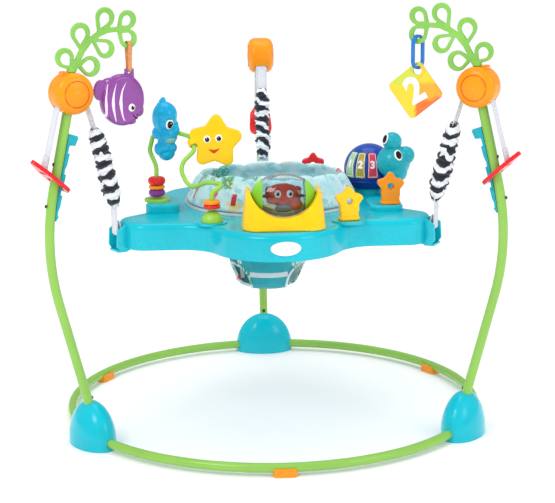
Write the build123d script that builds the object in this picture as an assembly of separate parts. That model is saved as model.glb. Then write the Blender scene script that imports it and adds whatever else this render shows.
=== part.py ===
from build123d import *
import os
from math import sin, cos, tan, radians, degrees, pi, sqrt, atan2, acos, hypot

# Activity jumper for a baby: three bowed legs on a round floor ring carry a
# play tray on three sprung straps, with a swivelling seat in the middle.
# Millimetres. +Z up, the child faces -Y. The model is laid out about the ring's
# axis, then moved by SHIFT_Y so that the origin is the footprint's centre.

# ---------------------------------------------------------------- driving sizes
SHIFT_Y = -45.0          # ring axis to footprint centre
LEG_AZ = (210, 330, 90)  # left front, right front, back
RING_R = 430.0           # ring centreline
RING_Z = 16.0            # ring centreline height
RING_D = 18.5            # ring tube
LEG_D = 19.0             # leg tube
WALL = 1.3               # steel tube wall
LEG_P0 = (440.0, 90.0)   # a point on the lower straight of the leg (r, z)
LEG_P1 = (490.0, 280.0)
LEG_P2 = (503.0, 500.0)  # two points on the upper straight
LEG_P3 = (453.0, 708.0)
LEG_BEND = 470.0
SOCKET_TOP = 110.0       # seam between foot socket and leg
HUB = (453.0, 708.0)     # spring housing centre (r, z)
HUB_R = 40.0
HUB_T = 56.0             # housing thickness without its domed caps
ROLL_C = (453.0, 712.0)  # strap roller axis
ROLL_R = 20.0
STRAP_W = 25.0
STRAP_T = 1.8
COVER_TOP = (406.0, 636.0)
COVER_BOT = (366.0, 478.0)
COVER_R = 19.0
HANDLE_MID = (505.0, 552.5)
HANDLE_L = 95.5
HANDLE_W = 52.0
HANDLE_T = 8.0
TRAY_Z0 = 395.0
TRAY_Z1 = 448.0
TRAY_WALL = 3.5
SEAT_R = 164.0           # hole in the tray
ROD_D = 9.0
RUN_CLEAR = 0.08         # radial clearance of a running fit

os.makedirs("parts", exist_ok=True)


def flat(items):
    out = []
    for it in items:
        if isinstance(it, (list, tuple, ShapeList)):
            out += flat(it)
        else:
            out += list(it.solids())
    return out


def save(name, *items):
    sol = [Pos(0, SHIFT_Y, 0) * s for s in flat(items)]
    obj = sol[0] if len(sol) == 1 else Compound(children=sol)
    obj.label = name
    export_step(obj, "parts/%s.step" % name)
    print("%-20s %d %.0f" % (name, len(sol), sum(q.volume for q in sol)))


def three(shape):
    return [Rot(0, 0, a) * shape for a in LEG_AZ]


def cyl(p, q, r):
    p, q = Vector(*p), Vector(*q)
    d = q - p
    return Plane(origin=p, z_dir=d) * Cylinder(r, d.length, align=(Align.CENTER, Align.CENTER, Align.MIN))


def bar(p, q, w, t):
    # flat bar in the XZ plane from p to q (r, z), w wide along Y, t thick
    d = Vector(q[0] - p[0], 0, q[1] - p[1])
    pl = Plane(origin=(p[0], 0, p[1]), x_dir=(0, 1, 0), z_dir=d)
    return pl * Box(w, t, d.length, align=(Align.CENTER, Align.CENTER, Align.MIN))


def prism(pts, y0, y1):
    # polygon in the XZ plane, pulled along Y
    f = Plane.XZ * make_face(Polyline(*pts, close=True))
    f = Pos(0, y1, 0) * f
    return extrude(f, amount=y1 - y0, dir=(0, -1, 0))


def spheroid(a, b):
    # round about Z: a across, b along the axis
    prof = Plane.XZ * (Ellipse(a, b) & Pos(a, 0) * Rectangle(2 * a, 4 * b))
    return revolve(prof, axis=Axis.Z)


def pipe(pts, radii, d):
    path = FilletPolyline(*pts, radius=radii)
    sec = Plane(origin=path @ 0, z_dir=path % 0) * Circle(d / 2)
    return sweep(sec, path=path)


def tangent(p, c, r, side):
    # point where the line from p touches the circle, and side picks which
    dx, dz = p[0] - c[0], p[1] - c[1]
    d = hypot(dx, dz)
    a = atan2(dz, dx) + side * acos(r / d)
    return (c[0] + r * cos(a), c[1] + r * sin(a))


def leg_r(z):
    # centreline radius on the two straights
    if z < 390:
        k = (z - LEG_P0[1]) / (LEG_P1[1] - LEG_P0[1])
        return LEG_P0[0] + k * (LEG_P1[0] - LEG_P0[0])
    k = (z - LEG_P2[1]) / (LEG_P3[1] - LEG_P2[1])
    return LEG_P2[0] + k * (LEG_P3[0] - LEG_P2[0])


# ---------------------------------------------------------------- floor ring
ring_sec = Plane.XZ * (Pos(RING_R, RING_Z) * (Circle(RING_D / 2) - Circle(RING_D / 2 - WALL)))
GAP = 3.2                # degrees from a foot's centre to the tube's end
arc = revolve(ring_sec, axis=Axis.Z, revolution_arc=120 - 2 * GAP)
save("ring_tubes", [Rot(0, 0, a + GAP) * arc for a in LEG_AZ])

# ---------------------------------------------------------------- feet
leg_dir = Vector(LEG_P1[0] - LEG_P0[0], 0, LEG_P1[1] - LEG_P0[1]).normalized()


def dome(rx, ry, h):
    # upright wall with half an egg on top, round at first and then stretched
    half = (Pos(0, 13) * Ellipse(rx, h - 13)) & (Pos(rx / 2, 13 + h / 2) * Rectangle(rx, h))
    prof = Plane.XZ * (half + Pos(rx / 2, 6.5) * Rectangle(rx, 13))
    return Pos(RING_R + 3, 0, 0) * scale(revolve(prof, axis=Axis.Z), by=(1, ry / rx, 1))


tube_cut = revolve(Plane.XZ * (Pos(RING_R, RING_Z) * Circle(RING_D / 2 + 0.4)), axis=Axis.Z, revolution_arc=30)
tube_cut = Rot(0, 0, -15) * tube_cut
foot = dome(41, 66, 90) - dome(37.5, 62.5, 86.5)
foot = foot - tube_cut
foot = foot - cyl((leg_r(30), 0, 30), (leg_r(140), 0, 140), LEG_D / 2 + 0.4)
save("foot_shells", three(foot))

base = extrude(Pos(RING_R + 3, 0) * Ellipse(36.5, 61.5), amount=3)
base = base + Pos(RING_R, 36, 9) * Box(30, 30, 14) + Pos(RING_R, -36, 9) * Box(30, 30, 14)
base = base - tube_cut
tower = cyl((leg_r(27), 0, 27), (leg_r(60), 0, 60), 15) & Pos(RING_R, 0, 50) * Box(200, 200, 46)
base = base + Pos(RING_R, 0, 16) * Box(27, 24, 28) + tower
base = base - cyl((leg_r(32), 0, 32), (leg_r(70), 0, 70), LEG_D / 2 + 0.1)
base = base - tube_cut
for side in (-1, 1):
    base = base - Pos(RING_R + 24, side * 26, -0.1) * Cylinder(4.3, 2.1, align=(Align.CENTER, Align.CENTER, Align.MIN))
save("foot_bases", three(base))

sock = cyl((leg_r(34), 0, 34), (leg_r(SOCKET_TOP), 0, SOCKET_TOP), LEG_D / 2)
sock = sock - cyl((leg_r(33), 0, 33), (leg_r(SOCKET_TOP + 2), 0, SOCKET_TOP + 2), LEG_D / 2 - WALL)
BTN_Z = 94.0
inward = Vector(-leg_dir.Z, 0, leg_dir.X)
btn_at = Vector(leg_r(BTN_Z), 0, BTN_Z)
hole = cyl(tuple(btn_at + inward * 4), tuple(btn_at + inward * 14), 3.8)
sock = sock - hole
save("leg_sockets", three(sock))

pad = Box(26, 46, 17) + Pos(0, 0, 0) * Box(26, 46, 17)
pad = fillet(pad.edges().filter_by(Axis.Z), 8)
pad = Pos(RING_R, 0, 8.5) * pad
pad = pad - tube_cut
save("floor_pads", [Rot(0, 0, a + 60) * pad for a in LEG_AZ])

# ---------------------------------------------------------------- legs
k = ((LEG_P2[0] - LEG_P0[0]) * (LEG_P3[1] - LEG_P2[1]) - (LEG_P2[1] - LEG_P0[1]) * (LEG_P3[0] - LEG_P2[0]))
k = k / ((LEG_P1[0] - LEG_P0[0]) * (LEG_P3[1] - LEG_P2[1]) - (LEG_P1[1] - LEG_P0[1]) * (LEG_P3[0] - LEG_P2[0]))
corner = (LEG_P0[0] + k * (LEG_P1[0] - LEG_P0[0]), LEG_P0[1] + k * (LEG_P1[1] - LEG_P0[1]))
LEG_TOP = 684.0
leg_path = [(leg_r(SOCKET_TOP + 0.3), 0, SOCKET_TOP + 0.3), (corner[0], 0, corner[1]), (leg_r(LEG_TOP), 0, LEG_TOP)]
leg_solid = pipe(leg_path, LEG_BEND, LEG_D)
leg = leg_solid - pipe(leg_path, LEG_BEND, LEG_D - 2 * WALL)
plug = cyl((leg_r(74), 0, 74), (leg_r(SOCKET_TOP + 1), 0, SOCKET_TOP + 1), LEG_D / 2 - WALL - 0.2)
step = cyl((leg_r(SOCKET_TOP + 0.3), 0, SOCKET_TOP + 0.3), (leg_r(SOCKET_TOP + 6), 0, SOCKET_TOP + 6), LEG_D / 2 - 0.4)
leg = leg + plug + step
leg = leg - cyl((leg_r(73), 0, 73), (leg_r(SOCKET_TOP + 8), 0, SOCKET_TOP + 8), LEG_D / 2 - 2 * WALL - 0.2)
leg = leg - cyl(tuple(btn_at + inward * 3), tuple(btn_at + inward * 14), 3.8)
save("leg_tubes", three(leg))

btn = cyl(tuple(btn_at + inward * 1), tuple(btn_at + inward * 11.6), 3.5)
btn = fillet(btn.edges().sort_by(Axis.X)[0], 1.2)
save("snap_buttons", three(btn))

# ---------------------------------------------------------------- height racks
up = Vector(LEG_P3[0] - LEG_P2[0], 0, LEG_P3[1] - LEG_P2[1]).normalized()
inn = Vector(-up.Z, 0, up.X)      # towards the middle, square to the upper leg


def on_leg(s, d):
    # s along the upper straight from LEG_P2, d towards the middle
    return (LEG_P2[0] + up.X * s + inn.X * d, LEG_P2[1] + up.Z * s + inn.Z * d)


NOTCH = 41.0


def skin(q, extra):
    # a point standing off the leg's inner side, following its bend
    u = max(0.0, 25.3 - q)
    return on_leg(q, LEG_D / 2 + extra + u * u / (2 * LEG_BEND))


prof = [skin(-34, 1.6), skin(-25, 6.5), skin(-24, 6.5), skin(-23, 4.5), skin(-14, 4.5)]
for i in range(3):
    q = 17 + i * NOTCH
    prof += [skin(q - 22, 7.5), skin(q, 9.0), skin(q + 1, 5.0), skin(q + 10, 5.0)]
prof += [skin(115, 6), skin(116, 17.5), skin(131, 21), skin(135, 19), skin(137, 2)]
prof += [skin(v, 0.1) for v in (137, 80, 25.3, 10, -5, -20, -34)]
rack = prism(prof, -4.5, 4.5)
rack = sorted(rack.solids(), key=lambda q: q.volume)[-1]
save("height_racks", three(rack))

scr = []
for s in (-8, 74):
    a = Vector(on_leg(s, 0)[0], 0, on_leg(s, 0)[1])
    head = Plane(origin=a + inn * (-LEG_D / 2 + 0.6), z_dir=inn * -1) * (Cylinder(3.2, 2.2, align=(Align.CENTER, Align.CENTER, Align.MIN)) - Pos(0, 0, 1.2) * (Box(4.2, 0.9, 3) + Box(0.9, 4.2, 3)))
    head = head - leg_solid
    scr += three(head)
for side in (-1, 1):
    head = Pos(RING_R + 24, side * 26, 0.5) * (Cylinder(4, 1.5, align=(Align.CENTER, Align.CENTER, Align.MIN)) - Box(5, 1, 1) - Box(1, 5, 1))
    scr += three(head)
save("frame_screws", scr)

# ---------------------------------------------------------------- spring housings
mid_r = ROLL_R + 0.4 + STRAP_T / 2
t_in = tangent(COVER_TOP, ROLL_C, mid_r, -1)
SLOT = (515.3, 562.1)    # where the outer strap meets the handle
t_out = tangent(SLOT, ROLL_C, mid_r, 1)
print("tangents", t_in, t_out)

hub = Pos(HUB[0], 0, HUB[1]) * Rot(90, 0, 0) * Cylinder(HUB_R, HUB_T)
hub = fillet(hub.edges(), 15)
cav = Pos(ROLL_C[0], 0, ROLL_C[1]) * Rot(90, 0, 0) * Cylinder(ROLL_R + 4.5, 34)
axle_hole = Pos(ROLL_C[0], 0, ROLL_C[1]) * Rot(90, 0, 0) * Cylinder(4 + RUN_CLEAR, 50)
legcut = cyl((leg_r(640), 0, 640), (leg_r(LEG_TOP + 0.3), 0, LEG_TOP + 0.3), LEG_D / 2 + 0.1)
ext_in = (t_in[0] + 2.2 * (COVER_TOP[0] - t_in[0]) * 0.5, t_in[1] + 2.2 * (COVER_TOP[1] - t_in[1]) * 0.5)
slot_in = bar(t_in, ext_in, STRAP_W + 3, 6.5)
slot_out = bar(t_out, (t_out[0] + (SLOT[0] - t_out[0]) * 0.5, t_out[1] + (SLOT[1] - t_out[1]) * 0.5), STRAP_W + 3, 6.5)
core = hub - cav - axle_hole - legcut - slot_in - slot_out
# round seats for the caps, and an upright socket for the leaf arm
seat_cut = [Pos(HUB[0], s * (HUB_T / 2), HUB[1]) * Rot(90, 0, 0) * Cylinder(25.2, 3.0) for s in (-1, 1)]
core = core - seat_cut[0] - seat_cut[1]
ARM_R = HUB[0] - 3.0
arm_sock = cyl((ARM_R, 0, HUB[1] + 31.0), (ARM_R, 0, HUB[1] + 60), 7.2)
tab = Pos(HUB[0] + 14, 0, HUB[1] + 38) * Box(13, 15, 9)
tab = fillet(tab.edges().filter_by(Axis.Y), 3)
front = core - arm_sock + (tab - Pos(ROLL_C[0], 0, ROLL_C[1]) * Rot(90, 0, 0) * Cylinder(35, 60))
back = core
near = Pos(HUB[0], 100, HUB[1]) * Box(300, 200, 300)
far = Pos(HUB[0], -100, HUB[1]) * Box(300, 200, 300)
halves = []
for az, body in zip(LEG_AZ, (front, front, back)):
    halves += [Rot(0, 0, az) * (body & near), Rot(0, 0, az) * (body & far)]
save("housing_halves", halves)

cap_disc = Cylinder(25, 1.5, align=(Align.CENTER, Align.CENTER, Align.MIN))
cap_dome = Pos(0, 0, 1.5 - 98) * Sphere(101.0) & Pos(0, 0, 1.5) * Cylinder(25, 6, align=(Align.CENTER, Align.CENTER, Align.MIN))
cap = Pos(0, 0, 0) * (cap_disc + cap_dome)
caps = []
for s in (-1, 1):
    pl = Plane(origin=(HUB[0], s * (HUB_T / 2 - 1.5), HUB[1]), x_dir=(1, 0, 0), z_dir=(0, s, 0))
    caps += three(pl * cap)
save("housing_caps", caps)

# ---------------------------------------------------------------- rollers
roller = Cylinder(ROLL_R, 30) + Cylinder(4, 48)
roller = roller - Cylinder(ROLL_R + 5, 26.4) + Cylinder(ROLL_R, 26.4)
roller = Pos(ROLL_C[0], 0, ROLL_C[1]) * Rot(90, 0, 0) * roller
for nm, az in zip(("left", "right", "back"), LEG_AZ):
    save("strap_roller_" + nm, Rot(0, 0, az) * roller)

# ---------------------------------------------------------------- straps
a_in = degrees(atan2(t_in[1] - ROLL_C[1], t_in[0] - ROLL_C[0]))
a_out = degrees(atan2(t_out[1] - ROLL_C[1], t_out[0] - ROLL_C[0]))
if a_in < 0:
    a_in += 360
sec = Pos(mid_r, 0) * Rectangle(STRAP_T, STRAP_W)
wrap = Plane.XZ * sec
wrap = revolve(Plane.XZ * sec, axis=Axis.Z, revolution_arc=a_in - a_out)   # about Z
# turn the ring's axis from Z to -Y so that it lies in the leg's plane
wrap = Rot(90, 0, 0) * wrap
wrap = Pos(ROLL_C[0], 0, ROLL_C[1]) * (Rot(0, -a_out, 0) * wrap)
save("roller_straps", three(wrap))


def along(p, q, gap0, gap1):
    d = hypot(q[0] - p[0], q[1] - p[1])
    f0, f1 = gap0 / d, 1 - gap1 / d
    g = lambda f: (p[0] + (q[0] - p[0]) * f, p[1] + (q[1] - p[1]) * f)
    return g(f0), g(f1)


p, q = along(t_in, COVER_TOP, 0.4, 3)
save("inner_straps", three(bar(p, q, STRAP_W, STRAP_T)))
p, q = along(t_out, SLOT, 0.4, 8.0)
for nm, az in zip(("left", "right", "back"), LEG_AZ):
    save("outer_strap_" + nm, Rot(0, 0, az) * bar(p, q, STRAP_W, STRAP_T))

# ---------------------------------------------------------------- pull handles
hu = Vector(70, 0, 65).normalized()
hpl = Plane(origin=(HANDLE_MID[0], 0, HANDLE_MID[1]), x_dir=hu, z_dir=Vector(-hu.Z, 0, hu.X))
out = make_hull((Pos(-27, 0) * RectangleRounded(40, HANDLE_W, 16)).edges() + (Pos(HANDLE_L / 2 - 9, 0) * Circle(9)).edges() + (Pos(8, 0) * Circle(HANDLE_W / 2 - 2)).edges())
win = Pos(-21.2, 0) * RectangleRounded(39, 21.6, 8)
slt = Pos(14.5, 0) * RectangleRounded(5.5, STRAP_W + 3, 2)
plate = extrude(out - win - slt, amount=HANDLE_T / 2, both=True)
plate = fillet(plate.edges().filter_by(GeomType.LINE, reverse=True), 1.2)
plate = hpl * plate
for nm, az in zip(("left", "right", "back"), LEG_AZ):
    save("strap_handle_" + nm, Rot(0, 0, az) * plate)

# ---------------------------------------------------------------- springs and their covers
cv = Vector(COVER_BOT[0] - COVER_TOP[0], 0, COVER_BOT[1] - COVER_TOP[1])
CL = cv.length
cpl = Plane(origin=(COVER_TOP[0], 0, COVER_TOP[1]), x_dir=(0, 1, 0), z_dir=cv)
prof = [(COVER_R - 3.4, 0), (COVER_R - 2, 8), (COVER_R, 30), (COVER_R - 1, 90), (COVER_R, 130), (COVER_R - 2, CL - 8), (COVER_R - 3.4, CL)]
prof2 = [(x - 2.2, z) for x, z in prof][::-1]
sleeve = revolve(Plane.XZ * make_face(Polyline(*(prof + prof2), close=True)), axis=Axis.Z)
save("spring_covers", three(cpl * sleeve))
link = Pos(0, 0, 6) * Cylinder(9.6, 2.5, align=(Align.CENTER, Align.CENTER, Align.MIN)) + Pos(0, 0, 8) * Cylinder(4, 6, align=(Align.CENTER, Align.CENTER, Align.MIN))
save("spring_links", three(cpl * link))
SPR_R, SPR_W, SPR_P, SPR_L = 10.4, 2.8, 7.5, 120.0
hx = Helix(pitch=SPR_P, height=SPR_L, radius=SPR_R)
coil = sweep(Plane(origin=hx @ 0, z_dir=hx % 0) * Circle(SPR_W / 2), path=hx)
save("springs", three(cpl * (Pos(0, 0, 18) * coil)))

# ---------------------------------------------------------------- tray
BULGE_Y, BULGE_R = -215.0, 130.0
corners = [((281, -219), 36), ((320, -148), 34), ((259, -88), 40), ((261, 60), 60), ((214, 162), 70),
           ((128, 240), 60), ((66, 262), 24), ((56, 352), 40)]
right_side = [c for c, _ in corners]
left_side = [(-x, y) for x, y in right_side[::-1]]
outline = make_face(Polyline(*(right_side + left_side), close=True)) + Pos(0, BULGE_Y) * Circle(BULGE_R)
for (cx, cy), rad in corners:
    for sgn in (1, -1):
        vs = sorted(outline.vertices(), key=lambda v: hypot(v.X - sgn * cx, v.Y - cy))
        outline = fillet([vs[0]], rad)
vs = [v for v in outline.vertices() if abs(abs(v.X) - 130) < 3 and abs(v.Y + 219) < 3]
outline = fillet(vs, 80)
outline = outline.faces()[0] if len(outline.faces()) == 1 else outline
body = extrude(Pos(0, 0, TRAY_Z0) * outline, amount=TRAY_Z1 - TRAY_Z0)
body = fillet(body.edges().group_by(Axis.Z)[-1], 13)
inner = offset(outline, -TRAY_WALL - 0.5)
cavity = extrude(Pos(0, 0, TRAY_Z0 - 5) * inner, amount=TRAY_Z1 - TRAY_Z0 + 5 - TRAY_WALL)
cavity = fillet(cavity.edges().group_by(Axis.Z)[-1], 10)
keep = Pos(0, 0, 300) * Cylinder(SEAT_R + 4, 400)
cavity = cavity - keep
tray = body - cavity - Pos(0, 0, TRAY_Z0 + 20) * Cylinder(SEAT_R, 200)
# raised pads that carry toys
tray = tray + Pos(-127, -215, TRAY_Z1 - 3) * Cylinder(30, 5, align=(Align.CENTER, Align.CENTER, Align.MIN))
tray = tray + Pos(141, -222, TRAY_Z1 - 3) * Cylinder(34, 5, align=(Align.CENTER, Align.CENTER, Align.MIN))
inset = extrude(Pos(0, 0, TRAY_Z1 - 6) * offset(outline, -7), amount=60)
for bx, by, bw, bl, bh in ((-226, -66, 68, 100, 18), (228, -88, 66, 108, 12)):
    blk = Pos(bx, by, TRAY_Z1 - 2) * extrude(RectangleRounded(bw, bl, 20), amount=bh + 2)
    blk = fillet(blk.edges().group_by(Axis.Z)[-1], 5)
    tray = tray + (blk & inset)
save("tray_shell", sorted(tray.solids(), key=lambda q: q.volume)[-1])

# hooks at the tray's three lobes
cheek = prism([(344, 440), (356, 442), (372, 432), (374, 400), (366, 388), (352, 388), (344, 400)], 15, 19)
hook = cheek + mirror(cheek, about=Plane.XZ) + cyl((363, -16, 425), (363, 16, 425), 4)
hook = hook + Pos(348.2, 0, 415) * Box(4, 38, 50) + Pos(362, 0, 390) * Box(20, 34, 4)
rim_cut = three(Pos(0, 0, 0) * Box(1, 1, 1))
hooks = []
for h in three(hook):
    hooks.append(h - body)
save("strap_hooks", [sorted(h.solids(), key=lambda q: q.volume)[-1] for h in hooks])
hb = (363 - 5.2, 425 + 1.0)
ls = bar((COVER_BOT[0] + 2.5, COVER_BOT[1] + 9), hb, STRAP_W, STRAP_T)
loop = Plane.XZ * (Pos(363, 425) * (Circle(6.2) - Circle(4.4)))
loop = extrude(loop, amount=STRAP_W / 2, both=True)
save("lower_straps", three(loop + (ls - Pos(363, 0, 425) * Rot(90, 0, 0) * Cylinder(5, 60))))

# ---------------------------------------------------------------- seat
ring = Pos(0, 0, TRAY_Z1 + 0.4) * Cylinder(180, 5, align=(Align.CENTER, Align.CENTER, Align.MIN))
ring = ring + Pos(0, 0, 432) * Cylinder(SEAT_R - 0.8, 18, align=(Align.CENTER, Align.CENTER, Align.MIN))
ring = ring - Pos(0, 0, 440) * Cylinder(SEAT_R - 8, 60)
lip = Pos(0, 0, 420) * (Cylinder(SEAT_R - 4, 14, align=(Align.CENTER, Align.CENTER, Align.MIN)) - Cylinder(SEAT_R - 8, 20, align=(Align.CENTER, Align.CENTER, Align.MIN)))
ring = ring + lip
save("seat_ring", ring)
cp = [(179, 453.6), (180, 464), (176, 480), (168, 496), (160, 508), (153, 513.5), (147, 509), (150, 490), (158, 470), (160, 453.6)]
collar = revolve(Plane.XZ * make_face(Polyline(*cp, close=True)), axis=Axis.Z)
save("seat_collar", collar)

SEAT_SEC = ((446, 155.7, 155.7), (400, 104, 96), (340, 85, 78), (284, 63, 57), (277, 57, 51), (273, 45, 39))
WELL_SEC = ((447, 151.7, 151.7), (400, 100, 92), (340, 81, 74), (284, 59, 53), (278.5, 52, 46))
buck = loft([Pos(0, 0, z) * Ellipse(a, b) for z, a, b in SEAT_SEC], ruled=True)
hollow = loft([Pos(0, 0, z) * Ellipse(a, b) for z, a, b in WELL_SEC], ruled=True)
buck = buck - hollow
for s in (-1, 1):
    legh = Plane(origin=(s * 30, -10, 330), z_dir=(s * 0.62, -0.30, -0.72)) * Cylinder(33, 130, align=(Align.CENTER, Align.CENTER, Align.MIN))
    buck = buck - legh
save("seat_bucket", sorted(buck.solids(), key=lambda q: q.volume)[-1])

# ---------------------------------------------------------------- crab roller and its cradle
RC = (10, -265, 508)
RX, RR = 63.0, 43.5
egg = Rot(0, 90, 0) * spheroid(RR, RX)
egg_in = Rot(0, 90, 0) * spheroid(RR - 2.4, RX - 2.4)
midb = Box(82, 120, 120)
window = Pos(*RC) * ((egg - egg_in) & midb)
save("roller_window", window)
capsd = egg - Box(82.6, 120, 120)
stub = Rot(0, 90, 0) * Cylinder(4, 140) - Box(100, 120, 120)
inner_bore = Rot(0, 90, 0) * spheroid(RR - 8, RX - 8)
disc = (Rot(0, 90, 0) * Cylinder(RR * 0.62, 84.4)) - Box(82.6, 120, 120)
save("roller_caps", Pos(*RC) * (capsd + stub - (inner_bore & Box(107, 120, 120)) + disc))

crab = Pos(0, 2, 2) * Rot(0, 90, 0) * spheroid(22, 35)
for sgn in (-1, 1):
    crab = crab + Pos(sgn * 23, -15, -13) * Sphere(12)
    crab = crab + Pos(sgn * 27, -4, 12) * Sphere(8)
crab = crab + Pos(0, -13, -20) * Rot(0, 90, 0) * spheroid(8, 15) + Rot(0, 90, 0) * Cylinder(3, 82)
save("crab_figure", Pos(*RC) * crab)

cr = Pos(RC[0], -262, TRAY_Z1 + 0.02) * extrude(RectangleRounded(162, 114, 34), amount=73, taper=7)
cr = cr - Pos(RC[0], -262, 541) * Rot(90, 0, 0) * Cylinder(68, 200)
gap_egg = Rot(0, 90, 0) * spheroid(RR + 1.6, RX + 1.6)
cr = cr - Pos(*RC) * gap_egg - Pos(*RC) * Rot(0, 90, 0) * Cylinder(4 + RUN_CLEAR, 146)
cr = cr - Pos(RC[0], -262, TRAY_Z1 - 0.5) * Box(120, 80, 6.5, align=(Align.CENTER, Align.CENTER, Align.MIN))
save("roller_cradle", sorted(cr.solids(), key=lambda q: q.volume)[-1])

# ---------------------------------------------------------------- bead rod, bases and beads
LX, LY = -237.0, -70.0          # left bead stack
LZ = TRAY_Z1 + 18.0             # top of its raised block
rod_pts = [(LX, LY, LZ + 6), (LX, LY, 538), (-250, -64, 569), (-242, -56, 601), (-189, -60, 603), (-168, -72, 598),
           (-157, -95, 574), (-191, -106, 543), (-171, -124, 499), (-135, -160, 519), (-100, -197, 520),
           (-127, -215, 508), (-127, -215, 454)]
rod_rad = [30, 18, 12, 14, 14, 14, 30, 28, 34, 16, 12]
rod = pipe(rod_pts, rod_rad, ROD_D)
save("bead_rod", rod)

leafb = make_hull((Circle(26)).edges() + (Pos(44, 0) * Circle(4)).edges())
leafb = extrude(leafb, amount=6)
leafb = fillet(leafb.edges().group_by(Axis.Z)[-1], 2.5)
leafb = Pos(LX, LY, LZ + 0.1) * Rot(0, 0, 70) * leafb
leafb = leafb + Pos(LX, LY, LZ + 4) * Cylinder(8, 5, align=(Align.CENTER, Align.CENTER, Align.MIN))
leafb = leafb - cyl((LX, LY, LZ + 5.8), (LX, LY, LZ + 30), ROD_D / 2 + 0.05)
domeb = Pos(-127, -215, TRAY_Z1 + 2.3) * spheroid(21.5, 22) & Pos(-127, -215, TRAY_Z1 + 2.3) * Box(80, 80, 80, align=(Align.CENTER, Align.CENTER, Align.MIN))
domeb = domeb - cyl((-127, -215, 453.8), (-127, -215, 480), ROD_D / 2 + 0.05)
save("bead_bases", leafb, domeb)


def bead(x, y, z, r, h):
    b = Pos(x, y, z) * Cylinder(r, h)
    b = fillet(b.edges(), min(h / 2 - 0.3, r * 0.6))
    return b - Pos(x, y, z) * Cylinder(ROD_D / 2 + RUN_CLEAR, h + 10)


save("bead_purple", bead(LX, LY, 483.4, 17, 14.4))
save("bead_orange", bead(LX, LY, 495.0, 16.5, 7.6))
save("bead_red", bead(LX, LY, 507.8, 18, 17))
save("bead_low", bead(-127, -215, 480.5, 17, 7.6))
save("bead_high", bead(-127, -215, 489.0, 16.5, 7.6))

# ---------------------------------------------------------------- sea horse and star on the rod
HS = Vector(-218, -58, 0)


def at(x, y, z):
    return Pos(HS.X + x, HS.Y + y, z)


sh = at(-1, 0, 641) * Sphere(27) + at(-1, 0, 628) * Sphere(26) + at(-3, 0, 668) * Sphere(7)
sh = sh + at(20, -2, 616) * Sphere(12) + at(2, 0, 600) * Sphere(24) + at(-2, 0, 578) * Sphere(22) + at(2, 0, 565) * Sphere(18)
run0, run1 = Vector(*rod_pts[3]), Vector(*rod_pts[4])
rdir = (run1 - run0).normalized()
sh = sh & Pos(-211.5, -58, 600) * Box(43, 80, 160)
horse_axis = cyl(tuple(run0 - rdir * 30), tuple(run1 + rdir * 30), ROD_D / 2 + RUN_CLEAR)
sh = sh - horse_axis
save("sea_horse", sorted(sh.solids(), key=lambda q: q.volume)[-1])

STAR_C = Vector(-116, -80, 587.5)
star_pts = []
for i in range(10):
    a = radians(90 + 36 * i - 3)
    rr = 65 if i % 2 == 0 else 38
    star_pts.append((rr * cos(a), rr * sin(a)))
stf = make_face(Polyline(*star_pts, close=True))
stf = fillet([v for v in stf.vertices() if hypot(v.X, v.Y) > 50], 12)
star = extrude(stf, amount=11, both=True)
spl = Plane(origin=STAR_C, x_dir=(1, 0, 0), z_dir=(0, -1, 0.06))
star = spl * star
g0, g1 = Vector(*rod_pts[5]), Vector(*rod_pts[6])
gdir = (g1 - g0).normalized()
gm = (g0 + g1) * 0.5
hubs = cyl(tuple(gm - gdir * 7), tuple(gm + gdir * 7), 9.5)
armp = cyl(tuple(gm), (-128, -78, 588), 7)
star = star + hubs + armp
star = star - cyl(tuple(g0 - gdir * 5), tuple(g1 + gdir * 5), ROD_D / 2 + RUN_CLEAR)
star = star - pipe(rod_pts[4:8], rod_rad[4:6], ROD_D + 4.5) - pipe(rod_pts[6:9], rod_rad[6:7], ROD_D + 6.0)
star = star + (hubs - cyl(tuple(g0 - gdir * 5), tuple(g1 + gdir * 5), ROD_D / 2 + RUN_CLEAR))
save("star_toy", sorted(star.solids(), key=lambda q: q.volume)[-1])

# ---------------------------------------------------------------- star loops for hanging toys


def star_face(r_out, r_in, hole, roundness):
    pts = []
    for i in range(10):
        a = radians(90 + 36 * i)
        rr = r_out if i % 2 == 0 else r_in
        pts.append((rr * cos(a), rr * sin(a)))
    f = make_face(Polyline(*pts, close=True))
    f = fillet([v for v in f.vertices() if hypot(v.X, v.Y) > (r_out + r_in) / 2], roundness)
    return f - Circle(hole)


def star_loop(x, y, zc, r_out, zb, turn):
    f = star_face(r_out, r_out * 0.6, 6.5, 6.5)
    st = extrude(f, amount=9, both=True)
    st = Plane(origin=(0, 0, 0), x_dir=(1, 0, 0), z_dir=(0, -1, 0)) * st
    st = Pos(0, 0, zc) * st
    stem = Plane.XZ * make_face(Polyline((-19, zb), (19, zb), (15, zc), (-15, zc), close=True))
    stem = extrude(stem, amount=10, both=True)
    foot = Pos(0, 0, zb) * extrude(RectangleRounded(42, 26, 9), amount=5)
    st = st + stem + foot
    st = st - Pos(0, 0, zc) * Rot(90, 0, 0) * Cylinder(6.5, 60)
    return Pos(x, y, 0) * Rot(0, 0, turn) * st


save("star_loop_yellow", star_loop(141, -225, 488, 33, TRAY_Z1 + 2.3, 8))
save("star_loop_orange", star_loop(236, -118, 497, 33, TRAY_Z1 + 12.1, 0))
save("star_loop_red", star_loop(104, 212, 488, 31, TRAY_Z1 + 0.1, -6))

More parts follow.
